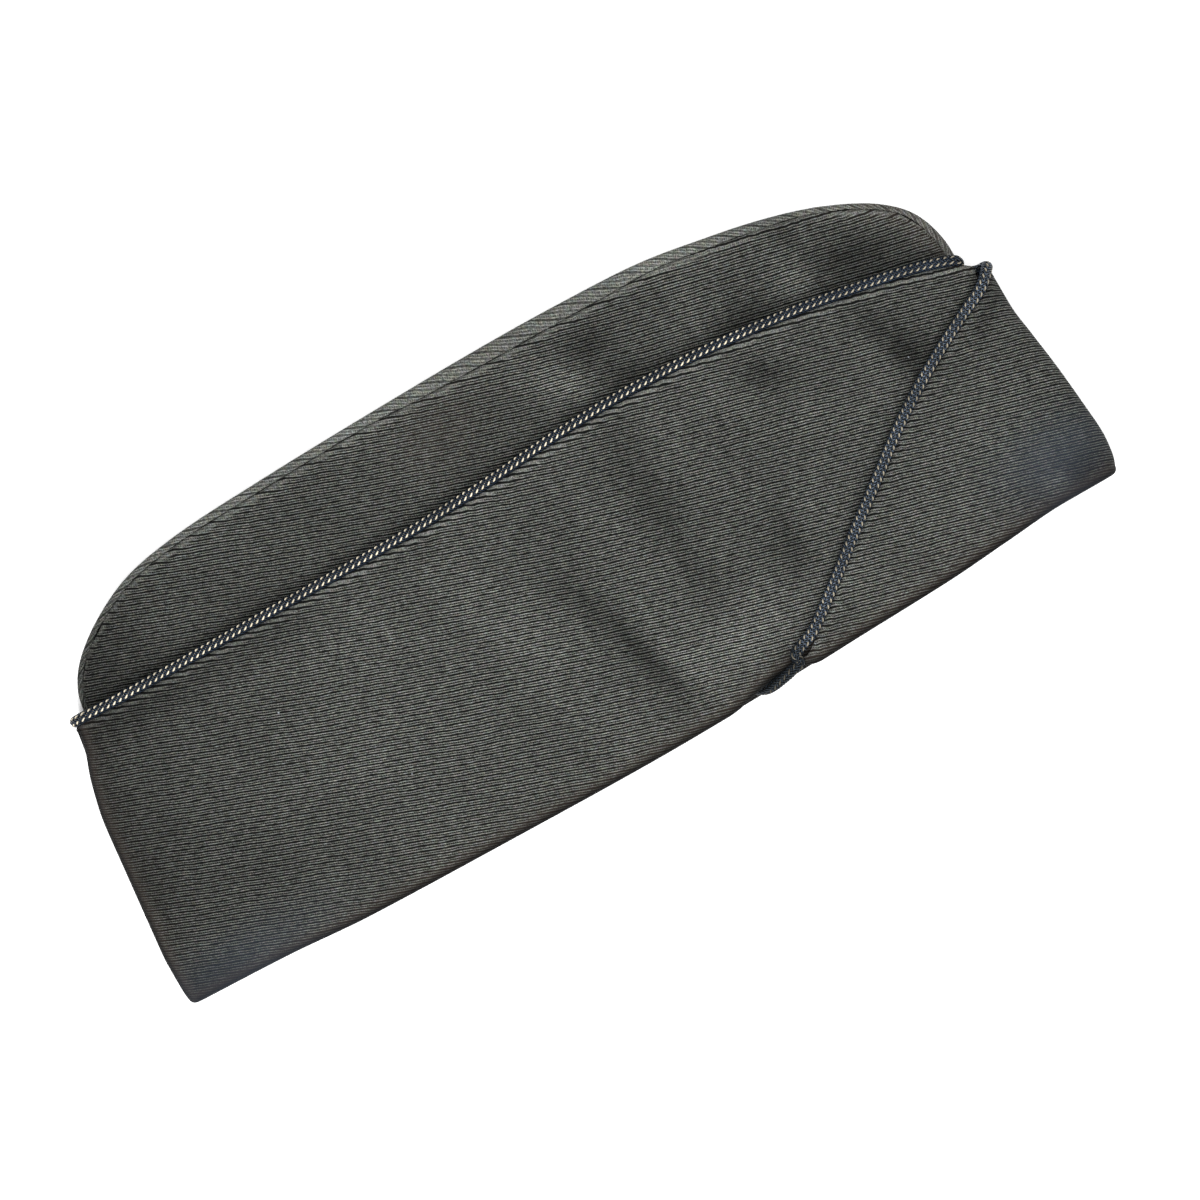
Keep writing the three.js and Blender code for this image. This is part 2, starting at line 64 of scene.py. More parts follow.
# Folds
CREASE_FOLD = 6.0
RIDGE_FOLD = 7.8
RIDGE_REST = 0.6
RIDGE_STRIP = 5.3
RIDGE_ROLL = 1.8
CREASE_ROLL = 2.5
PLEAT_DEPTH = 14.0
PLEAT_GAP = 0.35
BACK_BEND = 5.0
FRONT_BEND = 6.0
CREASE_SLACK = 1.05
LAP_TUCK = 3.8
BRAID_PROUD = 1.25
BRAID_LIFT = 0.05
DENT_DEPTH = 1.0
RIM_FULLNESS = 1.3
BRAID_CLIMB = (-11, -4)
BRAID_SINK = (4, 12)
PLEAT_OPENS = (0.3, 0.44)
PLEAT_CLOSES = (0.56, 0.68)

# Worked out from the sizes above
LAYER = CURTAIN_WALL + SEAT
FOOT_RADIUS = (CURTAIN_WALL + SEAT + CROWN_WALL) / 2
BRAID_RADIUS = BRAID_DIAMETER / 2
CROWN_BACK_INSET = LAYER + CREASE_SLACK
CROWN_FRONT_INSET = 2 * (LAYER + CREASE_SLACK)
RIGHT_FRONT_INSET = LAYER + CREASE_SLACK
LAP_CLOTH = 0.9 * LAP_REACH
NARROW_STRIP = RIDGE_WALL + 0.4
TUCK_FROM = 0.96
TUCK_TO = 1.12
SHOULDER = 0.934 * CURTAIN_HEIGHT
CLOTH_SEAM = 2.5
BRAID_SEAM = 7.0
FRONT_WRAP = 25.0

# What only this scene has
CLOTH_TO_BRAID = 1.5  # the cloth's edge from the middle of the braid that hides it
SEAM_TURN = 0.75  # how far from a seam the cloth turns down into it
SEAM_DROP = 0.5
SEAM_GAP = 0.08
SEAM_UP = 0.84  # the sewn strip's width as a share of its width in the plain solid
SEAM_WANDER = 0.12
SEAM_PULL = 0.1  # how steeply the twill drops beside a seam, over SEAM_REACH
SEAM_REACH = 2.4
SEAM_SWAY = 0.17
# Lines raised or sunk along an edge: rise, way from the edge, width
WELT = (0.38, 0.95, 0.85)
WELT_GROOVE = (-0.16, 2.1, 0.4)
CROWN_WELT = (0.2, 0.95, 0.6)
CROWN_GROOVE = (-0.12, 1.9, 0.35)
STITCH_LINE = (1.0, 4.2, 0.55)
# Painted shade, dark and brownish, along a folded edge, in the same columns; then the strength of
# its fainter spread
EDGE_SHADE_LINE = (1.0, 0.0, 2.3)
EDGE_SHADE_SPREAD = 0.16
STITCH_SPACING = 2.5
STITCH_DEPTH = 0.16
ROPE = 0.4  # how much of a raised edge's height comes and goes with the twill
PUCKER = 0.16
PUCKER_FADE = 3.0
PAINTED_SHADING_DEPTH = 2.0  # how strongly the patches of painted light and shade show
LEAST_TONE = 0.3
# Painted shade, dark and brownish, on the cloth's inner face in the hollow
INSIDE_PAINTED_SHADE = 0.3
TWILL_RISE = 1.48  # height of one double rib, straight up the cloth
LEAST_HEIGHT = 0.4  # of the cloth that runs out under the braid
LAP_CORNER = 1.8  # how far the lap's corner is rounded off at the rim
LAP_CORNER_WAY = (0.83, 0.91)
LEFT_LOWER = 2.7  # how much lower the left braid lies than the right one near the front crease
LOWER_FROM = (240, 279)
LOWER_TO = 282
RIM_TUCK = 2.6  # how far the right curtain's rim lies back under the lap, to meet the braid
MM = 0.001

# Columns: x as a share of the cap's length, y of its height
RIM_ROWS = [
    (0.0, 0.033), (0.1, 0.025), (0.19, 0.011), (0.33, 0.0045), (0.483, 0.0), (0.613, 0.0045),
    (0.71, 0.0135), (0.807, 0.022), (0.872, 0.034), (0.937, 0.045), (1.0, 0.045),
]
# Columns: y as a share of the cap's height, inset of a crease as a share of its length
BACK_ROWS = [
    (0.03, 0.0045), (0.047, 0.001), (0.07, 0.0), (0.137, 0.0), (0.226, 0.0028), (0.316, 0.0065),
    (0.406, 0.0102), (0.4955, 0.0139), (0.585, 0.0222), (0.6525, 0.0315), (0.7085, 0.0361),
]
FRONT_ROWS = [
    (0.042, 0.0111), (0.054, 0.0065), (0.09, 0.0018), (0.137, 0.0), (0.226, 0.0028),
    (0.316, 0.0065), (0.406, 0.0116), (0.4955, 0.0162), (0.7085, 0.0167),
]
# Columns: x as a share of the cap's length, y of the braid as a share of the curtain's height
CURTAIN_ROWS = [
    (0.037, 0.961), (0.099, 0.955), (0.377, 0.955), (0.469, 0.968), (0.562, 0.992), (0.63, 1.0),
    (0.701, 0.994), (0.794, 0.967), (0.886, 0.919), (0.932, 0.886), (0.969, 0.838),
    (0.9833, 0.793),
]
# Columns: share of the lap's reach back from the front crease, y as a share of the lap's height
LAP_ROWS = [
    (0.0, 1.0), (0.047, 0.939), (0.134, 0.875), (0.257, 0.773), (0.381, 0.655), (0.505, 0.511),
    (0.629, 0.367), (0.752, 0.22), (0.876, 0.083),
]
# Columns: back and y as above, height over the right curtain as a share of the braid's
# diameter, and the turn of the braid's upper side round the rim in degrees
TUCK_ROWS = [
    (0.9, 0.054, 0.6, 12), (0.925, 0.041, 0.47, 28), (0.95, 0.032, 0.19, 50),
    (0.98, 0.025, -0.37, 80), (1.005, 0.026, -1.12, 112), (1.025, 0.042, -1.75, 140),
    (1.045, 0.068, -1.9, 160),
]
# Columns: x as a share of the length between the crown's creases, y of the rise over them
DOME_ROWS = [
    (0.0, 0.0), (0.007, 0.246), (0.022, 0.425), (0.0556, 0.627), (0.106, 0.813), (0.167, 0.903),
    (0.283, 0.955), (0.4146, 0.985), (0.536, 1.0), (0.632, 0.993), (0.718, 0.963),
    (0.7836, 0.888), (0.849, 0.791), (0.91, 0.649), (0.9606, 0.455), (0.987, 0.261), (1.0, 0.0),
]
CREASE_SHARES = [0.0, 0.2, 0.45, 0.66, 0.8]
# Columns: x as a share of the cap's length, width of the ridge strip as a share of its widest
STRIP_ROWS = [
    (0.0, 0.5), (0.045, 0.36), (0.08, 0.36), (0.19, 0.46), (0.33, 0.56), (0.4, 0.57),
    (0.47, 0.84), (0.56, 1.0), (0.65, 0.95), (0.73, 0.68), (0.8, 0.6), (0.87, 0.36),
    (0.93, 0.32), (0.96, 0.52),
]
# Columns: x, y, half length and half width as shares of the cap's length and height (y),
# turn in degrees, rise as a share of the dent depth
DENT_ROWS = [
    (0.525, 0.2, 0.07, 0.042, 81, -1.0), (0.59, 0.18, 0.06, 0.042, 81, 0.8),
    (0.3, 0.42, 0.09, 0.05, 20, -0.6), (0.16, 0.3, 0.08, 0.06, 60, 0.5),
    (0.585, 0.85, 0.05, 0.04, 80, 0.5), (0.64, 0.82, 0.05, 0.035, 75, -0.6),
    (0.771, 0.77, 0.04, 0.035, 60, -0.5), (0.845, 0.76, 0.045, 0.035, 60, -0.5),
    (0.75, 0.6, 0.05, 0.035, 100, -0.5),
]
# Painted light and painted shade of the cap's dents and folds, as patches of lighter and darker
# cloth, in the same columns, the last one the change of tone
PAINTED_SHADING_ROWS = [
    (0.531, 0.2, 0.037, 0.01, 105, -0.32), (0.5, 0.4, 0.028, 0.011, 118, -0.18),
    (0.604, 0.497, 0.065, 0.013, 94, -0.14), (0.61, 0.25, 0.02, 0.014, 90, -0.1),
    (0.696, 0.294, 0.028, 0.011, 82, -0.2), (0.752, 0.631, 0.02, 0.012, 145, -0.25),
    (0.863, 0.575, 0.045, 0.017, 118, -0.26), (0.879, 0.512, 0.015, 0.012, 0, -0.16),
    (0.624, 0.885, 0.018, 0.012, 0, -0.24), (0.631, 0.789, 0.02, 0.01, 0, -0.14),
    (0.833, 0.89, 0.015, 0.008, 100, -0.15), (0.881, 0.76, 0.032, 0.012, -18, -0.28),
    (0.77, 0.766, 0.03, 0.011, 8, -0.2), (0.946, 0.085, 0.03, 0.014, 0, -0.2),
    (0.005, 0.5, 0.2, 0.028, 84, -0.14), (0.06, 0.35, 0.11, 0.14, 0, -0.22),
    (0.972, 0.13, 0.045, 0.035, 60, -0.22), (0.03, 0.05, 0.04, 0.016, 0, -0.22),
    (0.965, 0.52, 0.03, 0.008, 42, -0.2), (0.16, 0.68, 0.13, 0.015, 0, -0.14),
    (0.07, 0.85, 0.05, 0.04, 40, -0.18), (0.608, 0.144, 0.04, 0.02, 8, 0.22),
    (0.9, 0.87, 0.04, 0.01, -38, 0.25), (0.95, 0.745, 0.04, 0.009, -68, 0.32),
    (0.847, 0.553, 0.04, 0.012, 105, 0.2), (0.548, 0.2, 0.035, 0.009, 108, 0.2),
    (0.41, 0.955, 0.1, 0.012, 2, 0.1), (0.812, 0.775, 0.02, 0.012, 0, 0.24),
    (0.766, 0.92, 0.02, 0.012, 0, 0.12), (0.645, 0.62, 0.03, 0.008, 90, 0.14),
    (0.7, 0.14, 0.035, 0.012, 40, 0.14), (0.877, 0.27, 0.03, 0.02, 20, 0.08),
    (0.431, 0.373, 0.055, 0.018, 113, 0.1), (0.555, 0.463, 0.05, 0.015, 100, 0.08),
    (0.587, 0.83, 0.028, 0.012, -42, 0.42), (0.719, 0.84, 0.02, 0.012, 90, 0.14),
    (0.819, 0.789, 0.018, 0.011, 105, 0.2), (0.937, 0.094, 0.009, 0.007, 0, 0.4),
    (0.247, 0.373, 0.16, 0.06, 0, 0.06), (0.706, 0.969, 0.03, 0.012, -5, 0.22),
]
# Patches of painted bluish sheen, in the same columns
PAINTED_SHEEN_ROWS = [
    (0.962, 0.16, 0.02, 0.05, 90, 0.6), (0.06, 0.06, 0.06, 0.02, 0, 0.7),
    (0.94, 0.1, 0.03, 0.03, 0, 0.5),
]
# Patches that are browner and darker, in the same columns
BROWN_ROWS = [
    (0.93, 0.83, 0.026, 0.011, -48, 0.5), (0.957, 0.7, 0.026, 0.009, -68, 0.55),
    (0.89, 0.885, 0.025, 0.007, -30, 0.35), (0.46, 0.88, 0.03, 0.02, 10, 0.25),
]
# The grain of each cloth. Columns: x as a share of the cap's length, fall towards the front
# in degrees
CURTAIN_GRAIN = [(0.0, 20.5), (0.25, 19.5), (0.47, 18.0), (0.62, 15.6), (0.75, 14.5), (1.0, 17.0)]
CROWN_GRAIN = [(0.0, 18.0), (0.2, 20.5), (0.42, 19.0), (0.56, 16.0), (0.72, 13.0), (1.0, 12.5)]
LAP_GRAIN = 15.0
STRIP_GRAIN = 26.0
# The ridge strip is painted a little lighter, for the light on its rolls
STRIP_PAINTED_LIGHT = 1.05
STRIP_ROPING = 0.25
STRIP_RIBS = 0.7  # ribs for each millimetre of the strip, as a share of the panels'

rng = np.random.default_rng(7)


def smooth(value, low, high):
    t = np.clip((value - low) / (high - low), 0, 1)
    return t * t * (3 - 2 * t)


def mix(a, b, t):
    return a + (b - a) * t


def unit(vectors):
    return vectors / np.linalg.norm(vectors, axis=-1, keepdims=True)


def line(rows, across_size, up_size):
    """A smooth line through a table's rows that never overshoots them."""
    xs = np.array([row[0] for row in rows]) * across_size
    ys = np.array([row[1] for row in rows]) * up_size
    steps = np.diff(ys) / np.diff(xs)
    product = steps[:-1] * steps[1:]
    total = np.where(product > 0, steps[:-1] + steps[1:], 1)
    inner = np.where(product > 0, 2 * product / total, 0)
    slopes = np.concatenate([steps[:1], inner, steps[-1:]])

    def at(x):
        x = np.clip(x, xs[0], xs[-1])
        i = np.clip(np.searchsorted(xs, x, side="right") - 1, 0, len(xs) - 2)
        width = xs[i + 1] - xs[i]
        t = (x - xs[i]) / width
        early = (1 + 2 * t) * (1 - t) ** 2 * ys[i] + t * (1 - t) ** 2 * width * slopes[i]
        late = t * t * (3 - 2 * t) * ys[i + 1] - t * t * (1 - t) * width * slopes[i + 1]
        return early + late

    return at


# Plan lines
rim_line = line(RIM_ROWS, CAP_LENGTH, CAP_HEIGHT)
back_edge = line(BACK_ROWS, CAP_HEIGHT, CAP_LENGTH)
front_inset = line(FRONT_ROWS, CAP_HEIGHT, CAP_LENGTH)
curtain_braid = line(CURTAIN_ROWS, CAP_LENGTH, CURTAIN_HEIGHT)


def front_edge(y):
    return CAP_LENGTH - front_inset(y)


LAP_CREASE = float(front_edge(CURTAIN_HEIGHT))
LAP_HEIGHT = float(curtain_braid(LAP_CREASE))
lap_line = line(LAP_ROWS, LAP_REACH, LAP_HEIGHT)
strip_width = line(STRIP_ROWS, CAP_LENGTH, RIDGE_STRIP)


def lap_braid(x):
    return lap_line(LAP_CREASE - x)


def left_braid(x):
    """The braid on the underside lies a little lower towards the front crease."""
    lower = smooth(x, *LOWER_FROM) * (1 - smooth(x, LOWER_TO, LAP_CREASE))
    return curtain_braid(x) - LEFT_LOWER * lower


def lap_back(x):
    """The way back from the front crease as a share of the lap's reach."""
    return (LAP_CREASE - x) / LAP_REACH


def right_front(y):
    return front_edge(y) - RIGHT_FRONT_INSET


def lap_rim(x):
    return rim_line(x) + LAP_CORNER * smooth(lap_back(x), *LAP_CORNER_WAY) ** 2


def right_rim(x):
    return rim_line(x) + RIM_TUCK * (1 - smooth(lap_back(x), TUCK_FROM, TUCK_TO))


def crown_bottom(x):
    lift = LAP_TUCK * (1 - smooth(lap_back(x), TUCK_TO, 1.5 * TUCK_TO))
    return rim_line(x) + lift + FOOT_RADIUS + SEAT


def slope_of(braid):
    return lambda x: (braid(x + 1.0) - braid(x - 1.0)) / 2.0


def cloth_edge(braid):
    """The cloth's free edge under the braid that is sewn on it."""
    slope = slope_of(braid)
    return lambda x: braid(x) - CLOTH_TO_BRAID * np.hypot(1, slope(x))


curtain_top = cloth_edge(curtain_braid)
left_top = cloth_edge(left_braid)
lap_top = cloth_edge(lap_braid)


def patches(rows, x, y):
    """The sum of soft oval patches at a place on the cap."""
    total = np.zeros(np.broadcast(x, y).shape)
    for middle_x, middle_y, long, wide, turn, rise in rows:
        dx = x - middle_x * CAP_LENGTH
        dy = y - middle_y * CAP_HEIGHT
        angle = math.radians(turn)
        along = (dx * math.cos(angle) + dy * math.sin(angle)) / (long * CAP_LENGTH)
        aside = (dy * math.cos(angle) - dx * math.sin(angle)) / (wide * CAP_LENGTH)
        total = total + rise * np.exp(-(along**2 + aside**2) / 2)
    return total


def crown_high(x, y):
    from_middle = np.minimum(1, np.abs(2 * x / CAP_LENGTH - 1))
    up = np.clip(y / CAP_HEIGHT, 0, 1)
    folded = mix(LAYER + CREASE_FOLD, RIDGE_REST + RIDGE_FOLD, up)
    rise = RIM_RISE * (1 - from_middle**2) ** RIM_FULLNESS * (1 - up**2)
    return folded + rise + DENT_DEPTH * patches(DENT_ROWS, x, y)


def crown_low(x, y):
    over_braid = BRAID_LIFT + BRAID_DIAMETER + SEAT
    past = (y - curtain_braid(x)) / BRAID_RADIUS
    climb = (over_braid - LAYER) * smooth(past, *BRAID_CLIMB)
    sink = (over_braid - RIDGE_REST) * smooth(past, *BRAID_SINK)
    return LAYER + climb - sink


def right_high(x, y):
    return crown_high(x, y) + LAYER


def lap_high(x, y):
    return crown_high(x, y) + 2 * LAYER


def upward(surface, x, y):
    slope_x = surface(x + 0.5, y) - surface(x - 0.5, y)
    slope_y = surface(x, y + 0.5) - surface(x, y - 0.5)
    return unit(np.stack([-slope_x, -slope_y, np.ones_like(slope_x)], -1))


# Placing in the frame
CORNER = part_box("curtain_left")[0]
ORIGIN = np.array([CORNER.x, CORNER.y, 0.0])


def dress(piece, slot, *nodes):
    """A finished piece goes on the cap's one body."""
    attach(piece, "root")
    if nodes:
        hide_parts(*nodes)


def add(name, data):
    made = bpy.data.objects.new(name, data)
    bpy.context.scene.collection.objects.link(made)
    return made


def make_piece(name, points, faces, material, corner_uv, tint=None):
    mesh = bpy.data.meshes.new(name)
    mesh.from_pydata((points * MM + ORIGIN).tolist(), [], faces.tolist())
    mesh.polygons.foreach_set("use_smooth", np.ones(len(faces), bool))
    layer = mesh.uv_layers.new(name="weave")
    layer.uv.foreach_set("vector", corner_uv.astype(np.float32).ravel())
    if tint is not None:
        attribute = mesh.attributes.new("tint", "FLOAT_COLOR", "POINT")
        attribute.data.foreach_set("color", tint.astype(np.float32).ravel())
    mesh.materials.append(material)
    mesh.update()
    return add(name, mesh)


def signed_volume(points, quads):
    a, b, c, d = (points[quads[:, i]] for i in range(4))
    return np.einsum("ij,ij->i", a, np.cross(b, c) + np.cross(c, d)).sum() / 6


def cap_faces(count):
    """The faces that close the first of a row of loops."""
    a = np.arange(count // 2 - 1)
    b = count - 1 - a
    return np.stack([a, a + 1, b - 1, b], -1)


def skin(loops, uv):
    """The faces of a closed skin over a row of closed loops, and the weave at their corners.
    uv has one more point in each loop than the loop itself, for its closing face."""
    columns, count = loops.shape[:2]
    i, k = np.meshgrid(np.arange(columns - 1), np.arange(count), indexing="ij")
    here = i * count
    beyond = here + count
    after = (k + 1) % count
    quads = np.stack([here + k, beyond + k, beyond + after, here + after], -1).reshape(-1, 4)
    corners = np.stack([uv[i, k], uv[i + 1, k], uv[i + 1, k + 1], uv[i, k + 1]],
                       2).reshape(-1, 4, 2)
    first = cap_faces(count)
    ends = np.concatenate([first, first[:, ::-1] + (columns - 1) * count])
    quads = np.concatenate([quads, ends])
    corners = np.concatenate([corners, uv[:, :count].reshape(-1, 2)[ends]])
    if signed_volume(loops.reshape(-1, 3), quads) < 0:
        return quads[:, ::-1], corners[:, ::-1]
    return quads, corners


def loft(name, loops, uv, tint, material):
    """A closed piece over loops that go out along one face and back along the other."""
    quads, corners = skin(loops, uv)
    return make_piece(name, loops.reshape(-1, 3), quads, material, corners, tint)


def travel(points, axis=0):
    """How far along a row of points each of them is."""
    steps = np.linalg.norm(np.diff(points, axis=axis), axis=-1)
    return np.insert(np.cumsum(steps, axis=axis), 0, 0, axis=axis)


def sums(values):
    """The running sum of values, by the means of neighbours."""
    return np.insert(np.cumsum((values[1:] + values[:-1]) / 2), 0, 0)


def column_between(places, known, rows):
    return np.stack([np.interp(places, known, column) for column in rows.T], -1)


# Small folds and waves that are the same each run
WAVES = [(rng.uniform(0.16, 0.55), rng.uniform(-0.25, 0.25), rng.uniform(0, 6.28))
         for _ in range(9)]
RIPPLES = [(rng.uniform(0.9, 2.6), rng.uniform(0, 6.28)) for _ in range(10)]


def waves(x, y):
    """Low waves in the cloth, about a tenth of a millimetre high."""
    total = sum(np.sin(a * x * 0.6 + b * y + c) for a, b, c in WAVES)
    return 0.035 * total


def ripples(s):
    """An uneven row of puckers along a seam, from -1 to 1."""
    return sum(np.sin(a * s + b) for a, b in RIPPLES) / 4.0


def rope(v, ribs):
    """The twill's own ridges across a raised edge, deepest along its dark lines."""
    return 1 - ROPE * np.cos(2 * np.pi * v / (TWILL_RISE * ribs))


def edge_line(shape, d):
    """A raised or sunk line at a distance from the edge that it runs along."""
    rise, middle, width = shape
    return rise * np.exp(-(((d - middle) / width) ** 2))


def fade(way, reach):
    return np.exp(-np.maximum(way, 0) / reach)


def beside_braid(s, d, v):
    """How the cloth stands up beside the braid. s runs along it, d is the way from the edge."""
    welt = edge_line(WELT, d) * rope(v, 1) * (1 + 0.2 * ripples(s * 1.3))
    puckers = PUCKER * ripples(s) * fade(d - WELT_GROOVE[1], PUCKER_FADE)
    return welt + edge_line(WELT_GROOVE, d) + puckers * smooth(d, 0.2, WELT_GROOVE[1])


def stitch_marks(s, d):
    """Small pulls in the cloth over a row of stitches, 1 in their middles."""
    row = edge_line(STITCH_LINE, d - 0.5 * ripples(s * 0.3))
    return row * np.maximum(np.cos(2 * np.pi * s / STITCH_SPACING + ripples(s * 0.4)), 0) ** 2


def grain(rows):
    """How far the twill has fallen at each x: the sum of its slope from the back end."""
    xs = np.linspace(-20, CAP_LENGTH + 20, 700)
    shares = [row[0] * CAP_LENGTH for row in rows]
    slopes = np.tan(np.radians(np.interp(xs, shares, [row[1] for row in rows])))
    fallen = sums(slopes) * (xs[1] - xs[0])
    return lambda x: np.interp(x, xs, fallen)


curtain_fall = grain(CURTAIN_GRAIN)
crown_fall = grain(CROWN_GRAIN)


def beside_seam(s, d):
    """How far the twill is pulled up or down beside a seam."""
    sway = SEAM_SWAY * ripples(s * 0.9) * fade(d, 2.5)
    return sway - SEAM_PULL * np.maximum(SEAM_REACH - d, 0)


def edge_painted_shade(edge):
    """Painted shade at this distance from a folded edge: how brown and dark the cloth is painted
    where it rolls away from the light.
    """
    edge = np.maximum(edge, 0)
    return edge_line(EDGE_SHADE_LINE, edge) + EDGE_SHADE_SPREAD * fade(edge, 5)


def tones(x, y, edge):
    """Painted light and shade, painted bluish sheen, brown patches with painted shade at folds,
    and roping of the cloth. edge is the way to the nearest fold.
    """
    tone = np.maximum(1 + PAINTED_SHADING_DEPTH * patches(PAINTED_SHADING_ROWS, x, y), LEAST_TONE)
    painted_sheen = np.clip(patches(PAINTED_SHEEN_ROWS, x, y), 0, 1)
    brown = np.clip(edge_painted_shade(edge) + patches(BROWN_ROWS, x, y), 0, 1)
    return np.stack([tone, painted_sheen, brown, np.zeros_like(tone)], -1)


# The curtain
Column = namedtuple("Column", "place out low high")


def bend_column(degrees, side, edge, bend, surface, low, high):
    """A column where the cloth bends at a crease. bend is less than 0 at the back crease."""
    sine = math.sin(math.radians(degrees))
    cosine = math.cos(math.radians(degrees))

    def half(y):
        return surface(edge(y) - bend, y) / 2

    def place(y):
        return np.stack([edge(y) - bend * (1 - cosine), y, half(y) * (1 + side * sine)], -1)

    def out(y):
        flat = np.zeros_like(y)
        return unit(np.stack([flat + cosine / bend, flat, side * sine / half(y)], -1))

    return Column(place, out, low, high)


def surface_column(across, surface, low, high, side=1):
    def place(y):
        return np.stack([across(y), y, surface(across(y), y)], -1)

    def out(y):
        return side * upward(surface, across(y), y)

    return Column(place, out, low, high)


def floor_height(x, y):
    return 0 * x


def back_flat(y):
    return back_edge(y) + BACK_BEND


def front_flat(y):
    return front_edge(y) - FRONT_BEND


def flat_columns(start, end, shares, *rest):
    """Columns at shares of the way from one line to another."""
    return [surface_column(lambda y, share=share: mix(start(y), end(y), share), *rest)
            for share in shares]


def back_columns(seam_angle, steps, side, low, high):
    return [bend_column(mix(seam_angle, 90, i / steps), side, back_edge, -BACK_BEND, right_high,
                        low, high) for i in range(steps)]


def right_columns(seam_angle, bend_steps, shares):
    ends = right_high, right_rim, curtain_top
    columns = back_columns(seam_angle, bend_steps, 1, *ends[1:])
    columns += flat_columns(back_flat, lambda y: right_front(y) - BACK_BEND, shares, *ends)
    for i in range(1, bend_steps + 1):
        angle = mix(90, FRONT_WRAP, i / bend_steps)
        columns.append(bend_column(angle, 1, right_front, BACK_BEND, *ends))
    return columns


def left_columns(seam_angle, bend_steps, floor_steps, front_steps, lap_steps):
    columns = back_columns(seam_angle, bend_steps, -1, rim_line, left_top)
    columns += flat_columns(back_flat, front_flat, np.arange(floor_steps) / floor_steps,
                            floor_height, rim_line, left_top, -1)
    for i in range(front_steps):
        angle = mix(-90, 90, i / front_steps)
        side, high = (-1, left_top) if angle < 0 else (1, lap_top)
        columns.append(bend_column(abs(angle), side, front_edge, FRONT_BEND, lap_high,
                                   rim_line, high))
    return columns + flat_columns(front_flat, lambda y: LAP_CREASE - LAP_CLOTH,
                                  np.arange(lap_steps + 1) / lap_steps, lap_high, lap_rim,
                                  lap_top)


def settle(place, edge):
    """The height at which a column meets a line."""
    y = np.array([CURTAIN_HEIGHT / 2])
    for _ in range(7):
        y = edge(place(y)[:, 0])
    return float(y[0])


def row_shares(count, finer_top, finer_foot):
    """Shares of a column's height, closer together towards its ends."""
    t = np.linspace(0, 1, 400)
    density = 1 + finer_top * np.exp(-(1 - t) / 0.05) + finer_foot * np.exp(-t / 0.03)
    finer = sums(density)
    return np.interp(np.linspace(0, finer[-1], count), finer, t)


FOOT_ANGLES = np.radians(np.linspace(0, 180, 10)[1:])
INNER_ROWS = 21
INNER_WEAVE = 85.0
DOWN = np.array([0.0, -1.0, 0.0])
FAR = 20.0  # beyond the reach of a fold's painted shade


def curtain_piece(name, columns, rows, fall, along_back, seam_slope, look, material):
    """A curtain's cloth: outer face from top to rim, round the rolled foot, inner face up.
    rows is of an odd count, so that the loops' is even."""
    outer, normals, inner, foot, ys = [], [], [], [], []
    for one in columns:
        low = settle(one.place, lambda x, c=one: c.low(x) + FOOT_RADIUS)
        high = max(settle(one.place, one.high), low + LEAST_HEIGHT)
        y = low + (high - low) * rows
        ys.append(y)
        outer.append(one.place(y))
        normals.append(one.out(y))
        inner_y = np.linspace(low, high, INNER_ROWS)
        inner.append(one.place(inner_y) - CURTAIN_WALL * one.out(inner_y))
        out = one.out(inner_y[:1])[0]
        centre = one.place(inner_y[:1])[0] - FOOT_RADIUS * out
        foot.append(centre + FOOT_RADIUS * (np.cos(FOOT_ANGLES)[:, None] * out
                                            + np.sin(FOOT_ANGLES)[:, None] * DOWN))
    outer, normals, inner, foot, y = map(np.array, (outer, normals, inner, foot, ys))
    way = along_back(outer, travel(outer[..., [0, 2]]))
    slant = np.hypot(1, seam_slope(outer[:, -1:, 0]))
    d = (y[:, -1:] - y) / slant
    s = way * slant
    above = y - y[:, :1]
    v = y + fall(way) + beside_seam(s, d)
    marks = look["stitches"] * stitch_marks(s, d)
    lift = beside_braid(s, d, v) * smooth(above, 1, 8)
    lift = lift + waves(outer[..., 0], y) * smooth(above, 0, 6) - STITCH_DEPTH * marks
    outer = outer + normals * (lift * look["lift"])[..., None]
    tint = tones(outer[..., 0], y, np.minimum(above + FOOT_RADIUS, look["crease"](outer)))
    # Painted shade: darker in the stitch pulls, in the braid's shadow at the cloth's edge, and
    # beside the lap's braid
    tint[..., 0] *= (1 - 0.3 * marks) * (1 - 0.5 * fade(d, 0.5)) * look["shade"](outer)
    tint[..., 3] = look["roping"] * (1 - smooth(d, 1.4, 2.6))

    loops = np.concatenate([outer[:, ::-1], foot, inner[:, 1:]], axis=1)
    reach = np.concatenate([FOOT_ANGLES * FOOT_RADIUS,
                            np.pi * FOOT_RADIUS + np.linspace(0, INNER_WEAVE, INNER_ROWS)[1:],
                            [INNER_WEAVE + 3]])
    uv_rest = np.stack([np.repeat(way[:, :1], len(reach), 1), v[:, :1] - reach], -1)
    uv = np.concatenate([np.stack([way, v], -1)[:, ::-1], uv_rest], axis=1)
    # Painted shade round the rolled foot, as at a folded edge
    foot_painted_shade = np.minimum(edge_painted_shade(FOOT_RADIUS * (1 - np.sin(FOOT_ANGLES))), 1)
    tint_rest = np.repeat(tint[:, :1], len(reach) - 1, axis=1)
    tint_rest[..., 2] = INSIDE_PAINTED_SHADE
    tint_rest[:, : len(foot_painted_shade), 2] = foot_painted_shade
    return loft(name, loops, uv, np.concatenate([tint[:, ::-1], tint_rest], axis=1), material)


